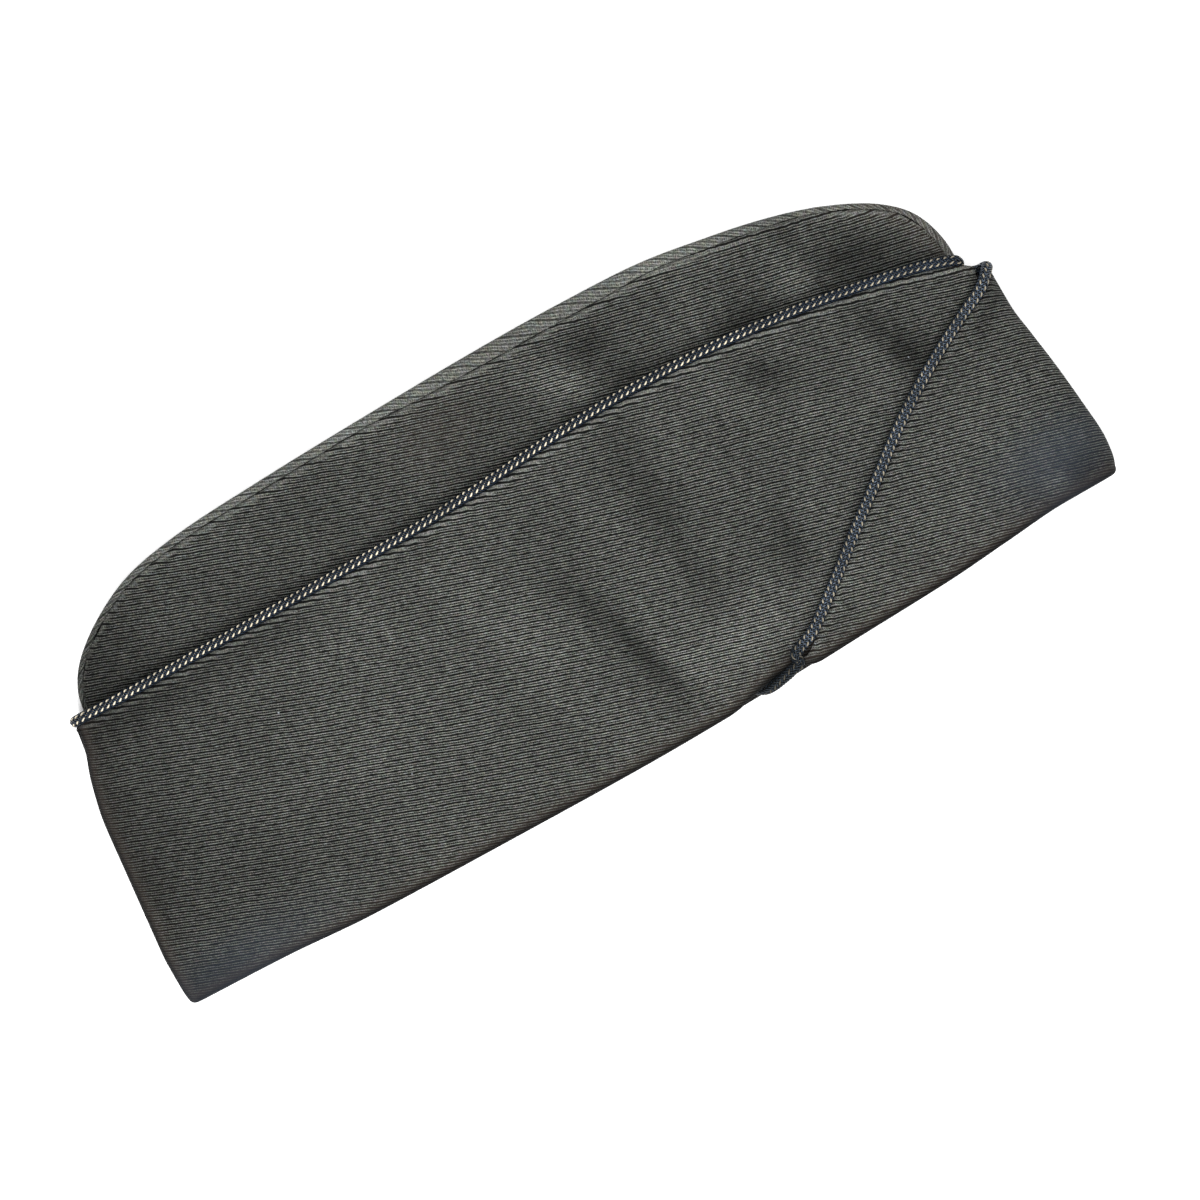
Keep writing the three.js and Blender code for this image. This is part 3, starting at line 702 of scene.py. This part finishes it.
def curtain_right(material):
    columns = right_columns(CLOTH_SEAM, 10, np.linspace(0, 1, 400))
    middle = len(columns) // 2

    def along(outer, way):
        return way - way[middle] + outer[middle, :, 0]

    def crease(outer):
        return outer[..., 0] - back_edge(outer[..., 1])

    def shade(outer):
        x, y = outer[..., 0], outer[..., 1]
        past = (y - lap_braid(x)) / np.hypot(1, slope_of(lap_braid)(x)) - BRAID_RADIUS
        beside = smooth(x, LAP_CREASE - LAP_REACH, LAP_CREASE - LAP_CLOTH)
        return 1 - 0.5 * beside * fade(past, 1.3)

    look = {"lift": np.ones((len(columns), 1)), "crease": crease, "roping": 1.0,
            "stitches": 0.0, "shade": shade}
    return curtain_piece("cloth_curtain_right", columns, row_shares(101, 1.9, 0.8), curtain_fall,
                         along, slope_of(curtain_braid), look, material)


def curtain_left(material):
    bends, floor_steps, front_steps, lap_steps = 10, 110, 20, 170
    columns = left_columns(CLOTH_SEAM, bends, floor_steps, front_steps, lap_steps)
    on_floor = bends + floor_steps + front_steps // 2
    lap_start = bends + floor_steps + front_steps
    rank = np.arange(len(columns))[:, None]
    lift = smooth(rank, on_floor, lap_start)

    def along(outer, way):
        return way - way[lap_start] + LAP_CREASE - outer[lap_start, :, 0]

    def fall(way):
        return -math.tan(math.radians(LAP_GRAIN)) * way

    def slope(x):
        return np.where(rank >= on_floor, slope_of(lap_braid)(x), slope_of(curtain_braid)(x))

    look = {"lift": lift, "crease": lambda outer: FAR, "roping": 0.45, "stitches": lift,
            "shade": lambda outer: 1.0}
    return curtain_piece("cloth_curtain_left", columns, row_shares(91, 1.4, 0.8), fall, along,
                         slope, look, material)


# The crown
def spline(points, count):
    """A centripetal spline through the points, with count places in each of their intervals."""
    points = np.asarray(points, float)
    first = 2 * points[0] - points[1]
    last = 2 * points[-1] - points[-2]
    ring = np.concatenate([[first], points, [last]])
    gaps = np.maximum(np.sqrt(np.linalg.norm(np.diff(ring, axis=0), axis=1)), 1e-6)
    made = []
    for i in range(len(points) - 1):
        p0, p1, p2, p3 = ring[i : i + 4]
        g0, g1, g2 = gaps[i : i + 3]
        m1 = ((p1 - p0) / g0 - (p2 - p0) / (g0 + g1) + (p2 - p1) / g1) * g1
        m2 = ((p2 - p1) / g1 - (p3 - p1) / (g1 + g2) + (p3 - p2) / g2) * g1
        t = np.arange(count)[:, None] / count
        made.append((2 * t**3 - 3 * t**2 + 1) * p1 + (t**3 - 2 * t**2 + t) * m1
                    + (3 * t**2 - 2 * t**3) * p2 + (t**3 - t**2) * m2)
    made.append(points[-1:])
    return np.concatenate(made)


def crown_outline():
    def back_x(y):
        return back_edge(y) + CROWN_BACK_INSET

    def front_x(y):
        return front_edge(y) - CROWN_FRONT_INSET

    def crease(edge):
        foot = crown_bottom(edge(FOOT_RADIUS))
        ys = [mix(foot, SHOULDER, share) for share in CREASE_SHARES]
        return [(float(edge(y)), float(y)) for y in ys]

    start, end = float(back_x(SHOULDER)), float(front_x(SHOULDER))
    dome = [(mix(start, end, x), mix(SHOULDER, CAP_HEIGHT, y)) for x, y in DOME_ROWS]
    return np.array(crease(back_x) + dome + crease(front_x)[::-1])


OUTLINE = crown_outline()


def crown_stations(steps):
    """Places along the outline with the outward normal and the strip's width there."""
    points = spline(OUTLINE, steps)
    tangent = unit(np.gradient(points, axis=0))
    out = np.stack([-tangent[:, 1], tangent[:, 0]], -1)
    width = np.maximum(SEAM_UP * strip_width(points[:, 0]), NARROW_STRIP)
    return points, out, width


STATION_STEPS = 17
station_points, station_out, station_width = crown_stations(STATION_STEPS)
CREASE_COUNT = len(CREASE_SHARES) * STATION_STEPS
ROW_PARTS = [(0, 0.68), (0.68, 0.955), (0.955, 1)]
# The crown's inner face in the hollow is painted darker and browner: painted shade
INSIDE_PAINTED_SHADE_TINT = (0.9, 0, 0.2, 0)


def seam_wander(points):
    """The seam along the ridge wanders a little."""
    return SEAM_WANDER * ripples(points[:, 0] * 0.35)


def panel_grid(rows, skip):
    inset = station_width + SEAM_GAP + seam_wander(station_points)
    seam = station_points - station_out * inset[:, None]
    back = seam[: CREASE_COUNT + 1]
    front = seam[-CREASE_COUNT - 1 :][::-1]
    top = seam[CREASE_COUNT : len(seam) - CREASE_COUNT]
    keep = np.unique(np.append(np.arange(0, len(top), skip), len(top) - 1))
    first, last = top[0], top[-1]
    top = top[keep]
    shares = (back[:, 1] - back[0, 1]) / (first[1] - back[0, 1])
    left = column_between(rows, shares, back)
    right = column_between(rows, shares, front)
    s = ((top[:, 0] - first[0]) / (last[0] - first[0]))[:, None, None]
    t = rows[None, :, None]
    x = mix(back[0, 0], front[0, 0], s[:, 0, 0])
    below = np.stack([x, crown_bottom(x)], -1)[:, None]
    between = mix(below, top[:, None], t)
    sides = mix(left[None], right[None], s)
    corners = mix(mix(back[0], front[0], s), mix(first, last, s), t)
    return between + sides - corners


def crown_rows(*counts):
    """Shares of a panel's height, closer together towards its seam."""
    parts = [np.linspace(*ends, count) for ends, count in zip(ROW_PARTS, counts)]
    return np.unique(np.concatenate(parts))


def crown_piece(name, surface, side, row_counts, inner_count, skip, material):
    grid = panel_grid(crown_rows(*row_counts), skip)
    x, y = grid[..., 0], grid[..., 1]
    d = np.linalg.norm(grid - grid[:, -1:], axis=-1)
    s = travel(grid[:, -1])[:, None]
    v = y + side * crown_fall(x) + beside_seam(s, d)
    turn = -SEAM_DROP * np.clip(1 - d / SEAM_TURN, 0, 1) ** 2
    welt = edge_line(CROWN_WELT, d) * rope(v, 2) * (1 + 0.3 * ripples(s))
    puckers = 0.4 * PUCKER * ripples(s * 0.8) * fade(d, PUCKER_FADE) * smooth(d, 0, 1)
    lift = turn + welt + edge_line(CROWN_GROOVE, d) + puckers
    lift = lift + waves(x, y + 40) * smooth(d, 0, 5)
    outer = np.stack([x, y, surface(x, y)], -1)
    outer = outer + side * upward(surface, x, y) * lift[..., None]
    bottom = panel_grid(np.linspace(0, 1, inner_count), skip)[:, ::-1]
    bx, by = bottom[..., 0], bottom[..., 1]
    inner = np.stack([bx, by, surface(bx, by)], -1)
    inner = inner - side * CROWN_WALL * upward(surface, bx, by)
    count = inner.shape[1] + 1
    uv_inner = np.stack([np.repeat(x[:, -1:], count, 1), v[:, -1:] + np.linspace(1, 90, count)],
                        -1)
    tint = tones(x, y, 9.0 + d)
    # Painted shadow of the braid's step on the crown just above the braid
    tint[..., 0] *= 1 - 0.3 * fade(y - curtain_braid(x) - BRAID_RADIUS, 2.2)
    tint[..., 3] = 0.7 * (1 - smooth(d, 1.2, 2.4))
    plain = np.broadcast_to(INSIDE_PAINTED_SHADE_TINT, inner.shape[:2] + (4,))
    return loft(name, np.concatenate([outer, inner], axis=1),
                np.concatenate([np.stack([x, v], -1), uv_inner], axis=1),
                np.concatenate([tint, plain], axis=1), material)


def top_strip(material):
    """The ridge strip: two rolls along the ridge, and the pleat folded in between them."""
    share = np.linspace(0, 1, len(station_points))
    pleat = (smooth(share, *PLEAT_OPENS) * (1 - smooth(share, *PLEAT_CLOSES)))[:, None]
    seam_x, seam_y = (station_points - station_out * station_width[:, None]).T
    high = crown_high(seam_x, seam_y)[:, None]
    low = crown_low(seam_x, seam_y)[:, None]
    middle = (high + low) / 2
    half = (high - low) / 2
    width = (station_width - seam_wander(station_points))[:, None] + SEAM_GAP / 2
    plain_roll = np.minimum(CREASE_ROLL, width - SEAT / 2)
    roll = mix(plain_roll, np.minimum(RIDGE_ROLL, (half - PLEAT_GAP) / 2), pleat)

    def on_roll(degrees):
        angle = np.radians(degrees)[None, :]
        out = roll * (np.cos(angle) - 1)
        up = half - roll * (1 - np.sin(angle))
        return out, up, angle + 0 * out

    across = np.linspace(0, 1, 8)[:-1][None, :]
    flat_out = mix(-width, -roll, across)
    flat = (flat_out, half + 0 * flat_out, np.pi / 2 + 0 * flat_out)
    bend = on_roll(np.linspace(90, 0, 9))
    steps = np.linspace(0.85, 0, 13)[None, :]
    plain_out = 0 * steps + 0 * half
    plain = (plain_out, (half - roll) * steps, plain_out)
    tight = on_roll(np.linspace(-18, -90, 6))
    leaf = np.linspace(0.15, 1, 6)[None, :]
    leaf_out = mix(tight[0][:, -1:], -PLEAT_DEPTH, leaf)
    leaf_up = mix(tight[1][:, -1:], PLEAT_GAP, leaf)
    tip = -PLEAT_DEPTH - PLEAT_GAP + 0 * half
    folded = (
        np.concatenate([tight[0], leaf_out, tip], 1),
        np.concatenate([tight[1], leaf_up, 0 * half], 1),
        np.concatenate([tight[2], -np.pi / 2 + 0 * leaf_out, 0 * half], 1),
    )
    inside = [mix(a, b, pleat) for a, b in zip(plain, folded)]
    right = [np.concatenate(parts, 1) for parts in zip(flat, bend, inside)]
    out, up, angle = (np.concatenate([part, sign * part[:, -2::-1]], 1)
                      for part, sign in zip(right, (1, -1, -1)))

    d = np.abs(out + width) + np.where(np.abs(up) < half * 0.9, 9.0, 0.0)
    s = travel(station_points)[:, None]
    turn = SEAM_DROP * np.clip(1 - d / (0.8 * SEAM_TURN), 0, 1) ** 2
    swell = PUCKER * ripples(s * 0.7 + 4) * fade(d, 2.5) * smooth(d, 0, 1)

    def at(depth):
        outward = (out - depth * np.cos(angle))[..., None]
        plan = station_points[:, None] + station_out[:, None] * outward
        return np.concatenate([plan, (middle + up - depth * np.sin(angle))[..., None]], -1)

    back = at(RIDGE_WALL + 0 * out)[:, ::-1]
    loops = np.concatenate([at(turn - swell), back], 1)
    ring = travel(loops, 1)
    ring = np.concatenate([ring, ring[:, -1:] + RIDGE_WALL], 1)
    v = STRIP_RIBS * (ring + math.tan(math.radians(STRIP_GRAIN)) * s)
    uv = np.stack([np.repeat(s, v.shape[1], 1), v], -1)
    tint = tones(loops[..., 0], loops[..., 1], np.inf)
    tint[..., 0] *= STRIP_PAINTED_LIGHT
    tint[..., 3] = STRIP_ROPING
    return loft("cloth_crown_top", loops, uv, tint, material)


# The braid
BRAID_PITCH = 11.1  # one turn of a strand along the braid
CARRIERS = 12  # strands that run each way round
WEAVE_RADIUS = 1.2
WEAVE_SWING = 0.2  # how far a strand goes out and in as it passes over and under
STRAND_THICK = 0.24
STRAND_WIDE = 0.28
CORE_RADIUS = 1.0
CORE_SIDES = 12
CORE_SKIP = 3
BRAID_DIP = 2.8  # how far the right braid sinks behind the cloth at its front end
TURN_SAMPLES = 34


def beside_column(one, braid, sunk):
    y = np.array([settle(one.place, braid)])
    return one.place(y)[0] - sunk * one.out(y)[0], one.out(y)[0]


def right_braid_path():
    sunk = BRAID_RADIUS - BRAID_PROUD
    bends = 5
    columns = right_columns(BRAID_SEAM, bends, np.linspace(0, 1, 37))
    dips = sunk + BRAID_DIP * smooth(np.arange(len(columns)), len(columns) - bends - 1,
                                     len(columns) - 1)
    return [beside_column(one, curtain_braid, dip) for one, dip in zip(columns, dips)]


def left_braid_path():
    beside_edge = BRAID_RADIUS - BRAID_PROUD
    on_floor = BRAID_RADIUS + BRAID_LIFT
    bends, floor_steps = 3, 18
    columns = left_columns(BRAID_SEAM, bends, floor_steps, 8, 13)
    path = []
    for i, one in enumerate(columns):
        from_back = smooth(i, 0, bends)
        to_front = smooth(i, bends + floor_steps, bends + floor_steps + 3)
        sunk = mix(mix(beside_edge, on_floor, from_back), beside_edge, to_front)
        braid = lap_braid if one.high is lap_top else left_braid
        path.append(beside_column(one, braid, sunk))
    for back, up, over, turn in TUCK_ROWS:
        x = LAP_CREASE - back * LAP_REACH
        y = up * LAP_HEIGHT
        face = right_rim(x) + FOOT_RADIUS
        z = right_high(x, np.maximum(y, face)) + over * BRAID_DIAMETER
        angle = math.radians(turn)
        out = np.array([0.0, -math.sin(angle), math.cos(angle)])
        path.append((np.array([x, y, float(z)]), out))
    return path


def even(points, outs, step):
    """The path cut into even steps, with its tangents and its two cross directions."""
    fine = spline(points, 24)
    fine_out = spline(outs, 24)
    way = travel(fine)
    s = np.linspace(0, way[-1], int(way[-1] / step))
    at = column_between(s, way, fine)
    out = column_between(s, way, fine_out)
    tangent = unit(np.gradient(at, axis=0))
    out = unit(out - tangent * (out * tangent).sum(-1, keepdims=True))
    return s, at, out, np.cross(tangent, out)


def swings(rows):
    """How far strands go out and in round a braid with so many rows of gold: 1 where one is
    over the others, -1 where it is under, with flat tops. The gold shows in two rows only."""
    def navy(angle):
        return np.clip(1.8 * np.cos(rows * angle) - 0.7, -1, 1)

    def gold(angle):
        return mix(-1, navy(angle), smooth(np.cos(angle + np.pi / rows), 0.3, 0.5))

    return gold, navy, lambda angle: -navy(angle)


def ring_weave(s, sides):
    return np.stack(np.meshgrid(s, np.linspace(0, 1, sides + 1), indexing="ij"), -1)


def strand_piece(name, path, turn, starts, way, shape, sides, material):
    """Strands that run round the path one way, out and in by their shape's swing."""
    s, at, out, side = path
    angle = way * 2 * np.pi * s / BRAID_PITCH + np.array(starts)[:, None]
    swing = shape(angle)[..., None]
    radial = np.cos(angle + turn)[..., None] * out + np.sin(angle + turn)[..., None] * side
    centre = at + (WEAVE_RADIUS + WEAVE_SWING * swing) * radial
    across = unit(np.cross(unit(np.gradient(centre, axis=1)), radial)) * (0.82 + 0.18 * swing)
    corner = (2 * np.pi * (np.arange(sides) + 0.5) / sides)[:, None]
    rings = (centre[:, :, None] + STRAND_WIDE * np.cos(corner) * across[:, :, None]
             + STRAND_THICK * np.sin(corner) * radial[:, :, None])
    skins = [skin(loops, ring_weave(s, sides)) for loops in rings]
    quads = np.concatenate([one[0] + i * len(s) * sides for i, one in enumerate(skins)])
    corners = np.concatenate([one[1] for one in skins])
    return make_piece(name, rings.reshape(-1, 3), quads, material, corners)


def core_piece(name, path, material):
    s, at, out, side = (part[::CORE_SKIP] for part in path)
    angle = (2 * np.pi * np.arange(CORE_SIDES) / CORE_SIDES)[:, None]
    rings = at[:, None] + CORE_RADIUS * (np.cos(angle) * out[:, None]
                                         + np.sin(angle) * side[:, None])
    return loft(name, rings, ring_weave(s, CORE_SIDES), None, material)


def braid_pieces(side_name, points, gold_rows, turn, gold, navy):
    places, outs = (np.array(part) for part in zip(*points))
    path = even(places, outs, BRAID_PITCH / TURN_SAMPLES)
    spacing = 2 * np.pi / CARRIERS
    evens, odds = (spacing * np.arange(start, CARRIERS, 2) for start in (0, 1))
    against = spacing * (np.arange(CARRIERS) + 0.5)
    gold_swing, navy_swing, cross_swing = swings(gold_rows)
    core = core_piece(f"braid_{side_name}_core", path, navy)
    dress(core, "braid", f"piping_{side_name}")
    rows = [
        ("gold", evens, -1, gold_swing, 6, gold),
        ("navy", odds, -1, navy_swing, 4, navy),
        ("cross", against, 1, cross_swing, 4, navy),
    ]
    for kind, *rest in rows:
        piece = strand_piece(f"braid_{side_name}_{kind}", path, turn, *rest)
        dress(piece, "braid")


# Materials
class Tree:
    """A short way to write node trees."""

    def __init__(self, name):
        self.material = bpy.data.materials.new(name)
        self.material.use_nodes = True
        self.tree = self.material.node_tree
        self.shader = self.tree.nodes["Principled BSDF"]

    def put(self, socket, value):
        if isinstance(value, bpy.types.NodeSocket):
            self.tree.links.new(value, socket)
        elif value is not None:
            socket.default_value = value

    def node(self, kind, inputs=None, **settings):
        made = self.tree.nodes.new(kind)
        for key, value in settings.items():
            setattr(made, key, value)
        for key, value in (inputs or {}).items():
            self.put(made.inputs[key], value)
        return made

    def math(self, operation, a, b=None, c=None):
        return self.node("ShaderNodeMath", {0: a, 1: b, 2: c}, operation=operation).outputs[0]

    def ramp(self, value, low, high, to_low=0.0, to_high=1.0):
        inputs = {"Value": value, "From Min": low, "From Max": high, "To Min": to_low,
                  "To Max": to_high}
        return self.node("ShaderNodeMapRange", inputs,
                         interpolation_type="SMOOTHSTEP").outputs["Result"]

    def noise(self, vector, scale, detail=2.0, roughness=0.5):
        inputs = {"Vector": vector, "Scale": scale, "Detail": detail, "Roughness": roughness}
        return self.node("ShaderNodeTexNoise", inputs).outputs["Fac"]

    def mix(self, factor, a, b, blend="MIX"):
        inputs = {"Factor": factor, "A": a, "B": b}
        return self.node("ShaderNodeMix", inputs, data_type="RGBA",
                         blend_type=blend).outputs["Result"]

    def vector(self, x, y, z=0.0):
        return self.node("ShaderNodeCombineXYZ", {"X": x, "Y": y, "Z": z}).outputs[0]

    def times(self, first, *others):
        for other in others:
            first = self.math("MULTIPLY", first, other)
        return first

    def scale(self, value, factor, plus):
        return self.math("MULTIPLY_ADD", value, factor, plus)

    def less(self, value, other):
        return self.math("SUBTRACT", value, other)

    def swing(self, value):
        return self.math("PINGPONG", value, 0.5)

    def shaded(self, colour, shade):
        return self.mix(1.0, colour, self.vector(shade, shade, shade), "MULTIPLY")

    def weave(self):
        """The way along and across the cloth or the strand."""
        uv = self.node("ShaderNodeUVMap", uv_map="weave").outputs["UV"]
        parts = self.node("ShaderNodeSeparateXYZ", {"Vector": uv}).outputs
        return parts["X"], parts["Y"]

    def bump(self, height, strength, distance):
        inputs = {"Height": height, "Strength": strength, "Distance": distance}
        return self.node("ShaderNodeBump", inputs).outputs["Normal"]

    def finish(self, inputs):
        for name, value in inputs.items():
            self.put(self.shader.inputs[name], value)
        return self.material


YARN = 0.56  # length of one yarn's float along a rib
DARK_WOOL = (0.0030, 0.0032, 0.0030)
PALE_WOOL = (0.132, 0.136, 0.124)
LINT = (0.22, 0.24, 0.26, 1)
# Brown of the painted shade at folds and inside, and of the brown patches
EDGE_SHADE_AND_PATCH_BROWN = (0.062, 0.045, 0.036, 1)
# Painted bluish sheen
PAINTED_SHEEN_BLUE = (0.055, 0.070, 0.095, 1)


def serge(name, tone, seed, rope_ribs, least=0.0):
    """Steep double twill in grey-green wool: a deep line, two ribs, a dotted line between.
    least is how high the deep line lies on cloth that is pulled smooth."""
    t = Tree(name)
    u, v = t.weave()
    place = t.vector(u, v, seed)
    tint = t.node("ShaderNodeAttribute", attribute_name="tint").outputs
    marks = t.node("ShaderNodeSeparateColor", {"Color": tint["Color"]}).outputs
    roping = tint["Alpha"]

    slow = t.less(t.noise(place, 0.06), 0.5)
    wander = t.less(t.noise(place, 0.3), 0.5)
    rib = t.math("ADD", t.math("DIVIDE", v, TWILL_RISE), t.scale(slow, 0.7, t.times(wander, 0.2)))
    dash = t.noise(t.vector(t.times(u, 0.4), rib, seed), 1.0)
    deep = t.ramp(t.scale(dash, 0.3, t.swing(rib)), 0.24, 0.42)
    along = t.math("DIVIDE", u, YARN)
    dots = t.ramp(t.swing(along), 0.08, 0.36)
    shallow = t.ramp(t.swing(t.math("ADD", rib, 0.5)), 0.07, 0.22)
    between = t.less(1.0, t.times(t.scale(dots, 0.32, 0.66), t.less(1.0, shallow)))
    crest = t.swing(t.times(rib, 2.0))
    body = t.times(deep, between, t.scale(crest, 0.5, 0.78))
    rope_way = t.swing(t.math("DIVIDE", rib, rope_ribs))
    roped = t.ramp(t.times(rope_way, rope_ribs), 0.08, 0.4, 0.0, 0.95)
    body = t.scale(t.times(roping, 0.6), t.less(roped, body), body)
    body = t.scale(body, 1.0 - least, least)

    floats = t.swing(t.scale(rib, -1.0, along))
    yarn = t.scale(floats, 0.6, 0.72)
    fuzz = t.noise(t.vector(t.times(u, 1.5), t.times(v, 3.0), seed), 1.0, 3.0, 0.65)
    height = t.times(body, t.scale(fuzz, 0.35, yarn))

    speck = t.ramp(fuzz, 0.3, 0.72, 0.38, 1.8)
    mottle = t.ramp(t.noise(place, 0.045, 3.0, 0.55), 0.25, 0.75, 0.86, 1.13)
    dark, pale = ((*(part * tone for part in wool), 1) for wool in (DARK_WOOL, PALE_WOOL))
    colour = t.mix(t.ramp(height, 0.05, 1.0), dark, pale)
    # The tint's red: painted light and shade of dents and folds, painted shadows, stitch pulls
    colour = t.shaded(colour, t.times(speck, mottle, marks["Red"]))
    hues = t.node("ShaderNodeTexNoise", {"Vector": place, "Scale": 0.9, "Detail": 2.0})
    hue = t.node("ShaderNodeVectorMath", {0: hues.outputs["Color"], 1: (0.4, 0.3, 0.5),
                                          2: (0.8, 0.85, 0.75)}, operation="MULTIPLY_ADD")
    colour = t.mix(1.0, colour, hue.outputs[0], "MULTIPLY")
    cells = t.node("ShaderNodeTexVoronoi", {"Vector": place, "Scale": 0.085})
    lint = t.ramp(cells.outputs["Distance"], 0.012, 0.027, 0.8, 0.0)
    colour = t.mix(lint, colour, LINT)
    # The tint's blue: painted shade at folds and inside, with the brown patches, browner and
    # darker
    brown = marks["Blue"]
    colour = t.mix(t.times(brown, 0.42), colour, EDGE_SHADE_AND_PATCH_BROWN)
    colour = t.shaded(colour, t.scale(t.math("POWER", brown, 2.0), -0.95, 1.0))
    # The painted bluish sheen comes in from the tint's green
    return t.finish({
        "Base Color": t.mix(t.times(marks["Green"], 0.25), colour, PAINTED_SHEEN_BLUE),
        "Roughness": t.ramp(height, 0.0, 1.0, 0.98, 0.8),
        "Specular IOR Level": 0.05,
        "Sheen Weight": 0.02,
        "Sheen Roughness": 0.5,
        "Normal": t.bump(t.times(height, t.scale(roping, 0.8, 1.0)), 0.85, 0.00042),
    })


TUCK_WAY = (396.0, 407.0)  # where the left braid goes in under the rim, along its length
# The left braid's tone there: painted shadow under the rim
TUCK_SHADOW = 0.12
FRONT_PAINTED_LIGHT_WAY = (190.0, 260.0)  # where a braid's painted light changes towards the front end
RIB_WAY = 0.95  # from rib to rib along a braid, mm
TOP_WAY = {4: 1 / 8, 6: 1 / 6}  # a strand's outermost line, as a share of the way round it
LIT_TOP_HALF = 0.03  # half the width of its painted highlight along the top, likewise


def thread(name, low, high, far, sides, strand_edge_shade, rib_gap_shade, roughness, inputs):
    """Spun thread of a braid: fibres along each strand, painted darker towards its edges as shade
    round a lit top, and darker between the braid's ribs as painted shade. far is its painted
    light near the front end."""
    t = Tree(name)
    u, v = t.weave()
    fibres = t.noise(t.vector(t.times(u, 0.8), t.times(v, 9.0)), 2.0, 3.0)
    patch = t.noise(t.vector(u, 0.0), 0.09)
    rib = t.math("SINE", t.times(u, 2.0 * math.pi / RIB_WAY))
    top = TOP_WAY[sides]
    aside = t.math("ABSOLUTE", t.less(v, top))
    # Painted shade in the tuck, between the ribs and at the strands' edges; painted light near
    # the front
    shade = t.times(t.ramp(patch, 0.3, 0.7, 0.7, 1.2), t.ramp(u, *FRONT_PAINTED_LIGHT_WAY, 1.0, far),
                    t.ramp(u, *TUCK_WAY, 1.0, TUCK_SHADOW), t.ramp(rib, -0.7, 0.5, rib_gap_shade, 1.0),
                    t.ramp(aside, LIT_TOP_HALF, top, 1.0, strand_edge_shade))
    return t.finish({
        "Base Color": t.shaded(t.mix(t.ramp(fibres, 0.3, 0.7), low, high), shade),
        "Roughness": t.ramp(aside, LIT_TOP_HALF, top, roughness, 0.75),
        "Normal": t.bump(fibres, 0.5, 0.00008),
        **inputs,
    })


def gloss(metallic, specular, tint):
    return {"Metallic": metallic, "Specular IOR Level": specular, "Specular Tint": tint}


# The pieces
crown_serge = serge("crown serge", 0.84, 3.0, 2)
curtain_serge = serge("curtain serge", 1.0, 11.0, 1)
dress(crown_piece("cloth_crown_right", crown_high, 1, (28, 42, 21), 29, 1, crown_serge),
      "serge", "crown_right")
dress(crown_piece("cloth_crown_left", crown_low, -1, (20, 24, 12), 18, 2, crown_serge),
      "serge", "crown_left")
dress(top_strip(serge("ridge serge", 0.84, 5.0, 2, 0.28)), "serge", "crown_top")
dress(curtain_right(curtain_serge), "curtain_serge", "curtain_right")
dress(curtain_left(curtain_serge), "curtain_serge", "curtain_left")

gold_thread = thread("gold thread", (0.42, 0.36, 0.26, 1), (0.72, 0.66, 0.52, 1), 0.45, 6, 0.5,
                     1.0, 0.4, gloss(0.1, 0.3, (1, 0.95, 0.82, 1)))
navy_thread = thread("navy thread", (0.004, 0.006, 0.010, 1), (0.017, 0.025, 0.041, 1), 1.3, 4,
                     0.04, 1.0, 0.3, gloss(0.0, 0.16, (0.7, 0.85, 1, 1)))
# The left braid's navy, painted lighter for the highlights on it
navy_thread_painted_lit = thread("navy thread painted lit", (0.010, 0.015, 0.023, 1), (0.076, 0.098, 0.135, 1), 1.3, 4,
                      0.03, 0.12, 0.3, gloss(0.0, 0.2, (0.7, 0.85, 1, 1)))
braid_pieces("right", right_braid_path(), 5, math.radians(27), gold_thread, navy_thread)
braid_pieces("left", left_braid_path(), 4, math.radians(45), gold_thread, navy_thread_painted_lit)


# Floor, light and camera
def floor():
    size = 4.0
    corners = [(-size, -size, 0), (size, -size, 0), (size, size, 0), (-size, size, 0)]
    mesh = bpy.data.meshes.new("floor")
    mesh.from_pydata(corners, [], [(0, 1, 2, 3)])
    t = Tree("pale floor")
    place = t.node("ShaderNodeTexCoord").outputs["Object"]
    colour = t.mix(t.noise(place, 3.0, 2.0), (0.86, 0.86, 0.86, 1), (0.88, 0.88, 0.88, 1))
    mesh.materials.append(t.finish({"Base Color": colour, "Roughness": 0.9}))
    piece = add("floor", mesh)


def area_light(name, place, size, power):
    """A round lamp that faces the cap."""
    data = bpy.data.lights.new(name, "AREA")
    data.shape = "DISK"
    data.size = size
    data.energy = power
    turned = (-Vector(place)).to_track_quat("-Z", "Y").to_matrix().to_4x4()
    add(name, data).matrix_world = Matrix.Translation(place) @ turned


PHOTO_TURN = 29.67  # how far the photo shows the cap turned, in degrees
VIEW_WIDTH = 0.3222  # what the photo's width shows at the cap
VIEW_CENTRE = (0.00493, -0.01526)  # the photo's middle on the cap
CAMERA_HEIGHT = 1.5
SENSOR = 36.0
CAP_MIDDLE_HEIGHT = 0.012

floor()
area_light("key", (-0.8, -0.75, 1.1), 0.8, 30)
area_light("fill", (0.3, 0.1, 1.65), 0.6, 17)
world = bpy.data.worlds.new("studio")
world.use_nodes = True
sky = world.node_tree.nodes["Background"].inputs
sky["Color"].default_value = (1, 1, 1, 1)
sky["Strength"].default_value = 1.08
bpy.context.scene.world = world
bpy.context.scene.view_settings.view_transform = "Standard"

camera_data = bpy.data.cameras.new("camera")
camera_data.sensor_width = SENSOR
camera_data.lens = SENSOR * (CAMERA_HEIGHT - CAP_MIDDLE_HEIGHT) / VIEW_WIDTH
camera = add("camera", camera_data)
camera.location = (*VIEW_CENTRE, CAMERA_HEIGHT)
camera.rotation_euler = (0, 0, -math.radians(PHOTO_TURN))
bpy.context.scene.camera = camera
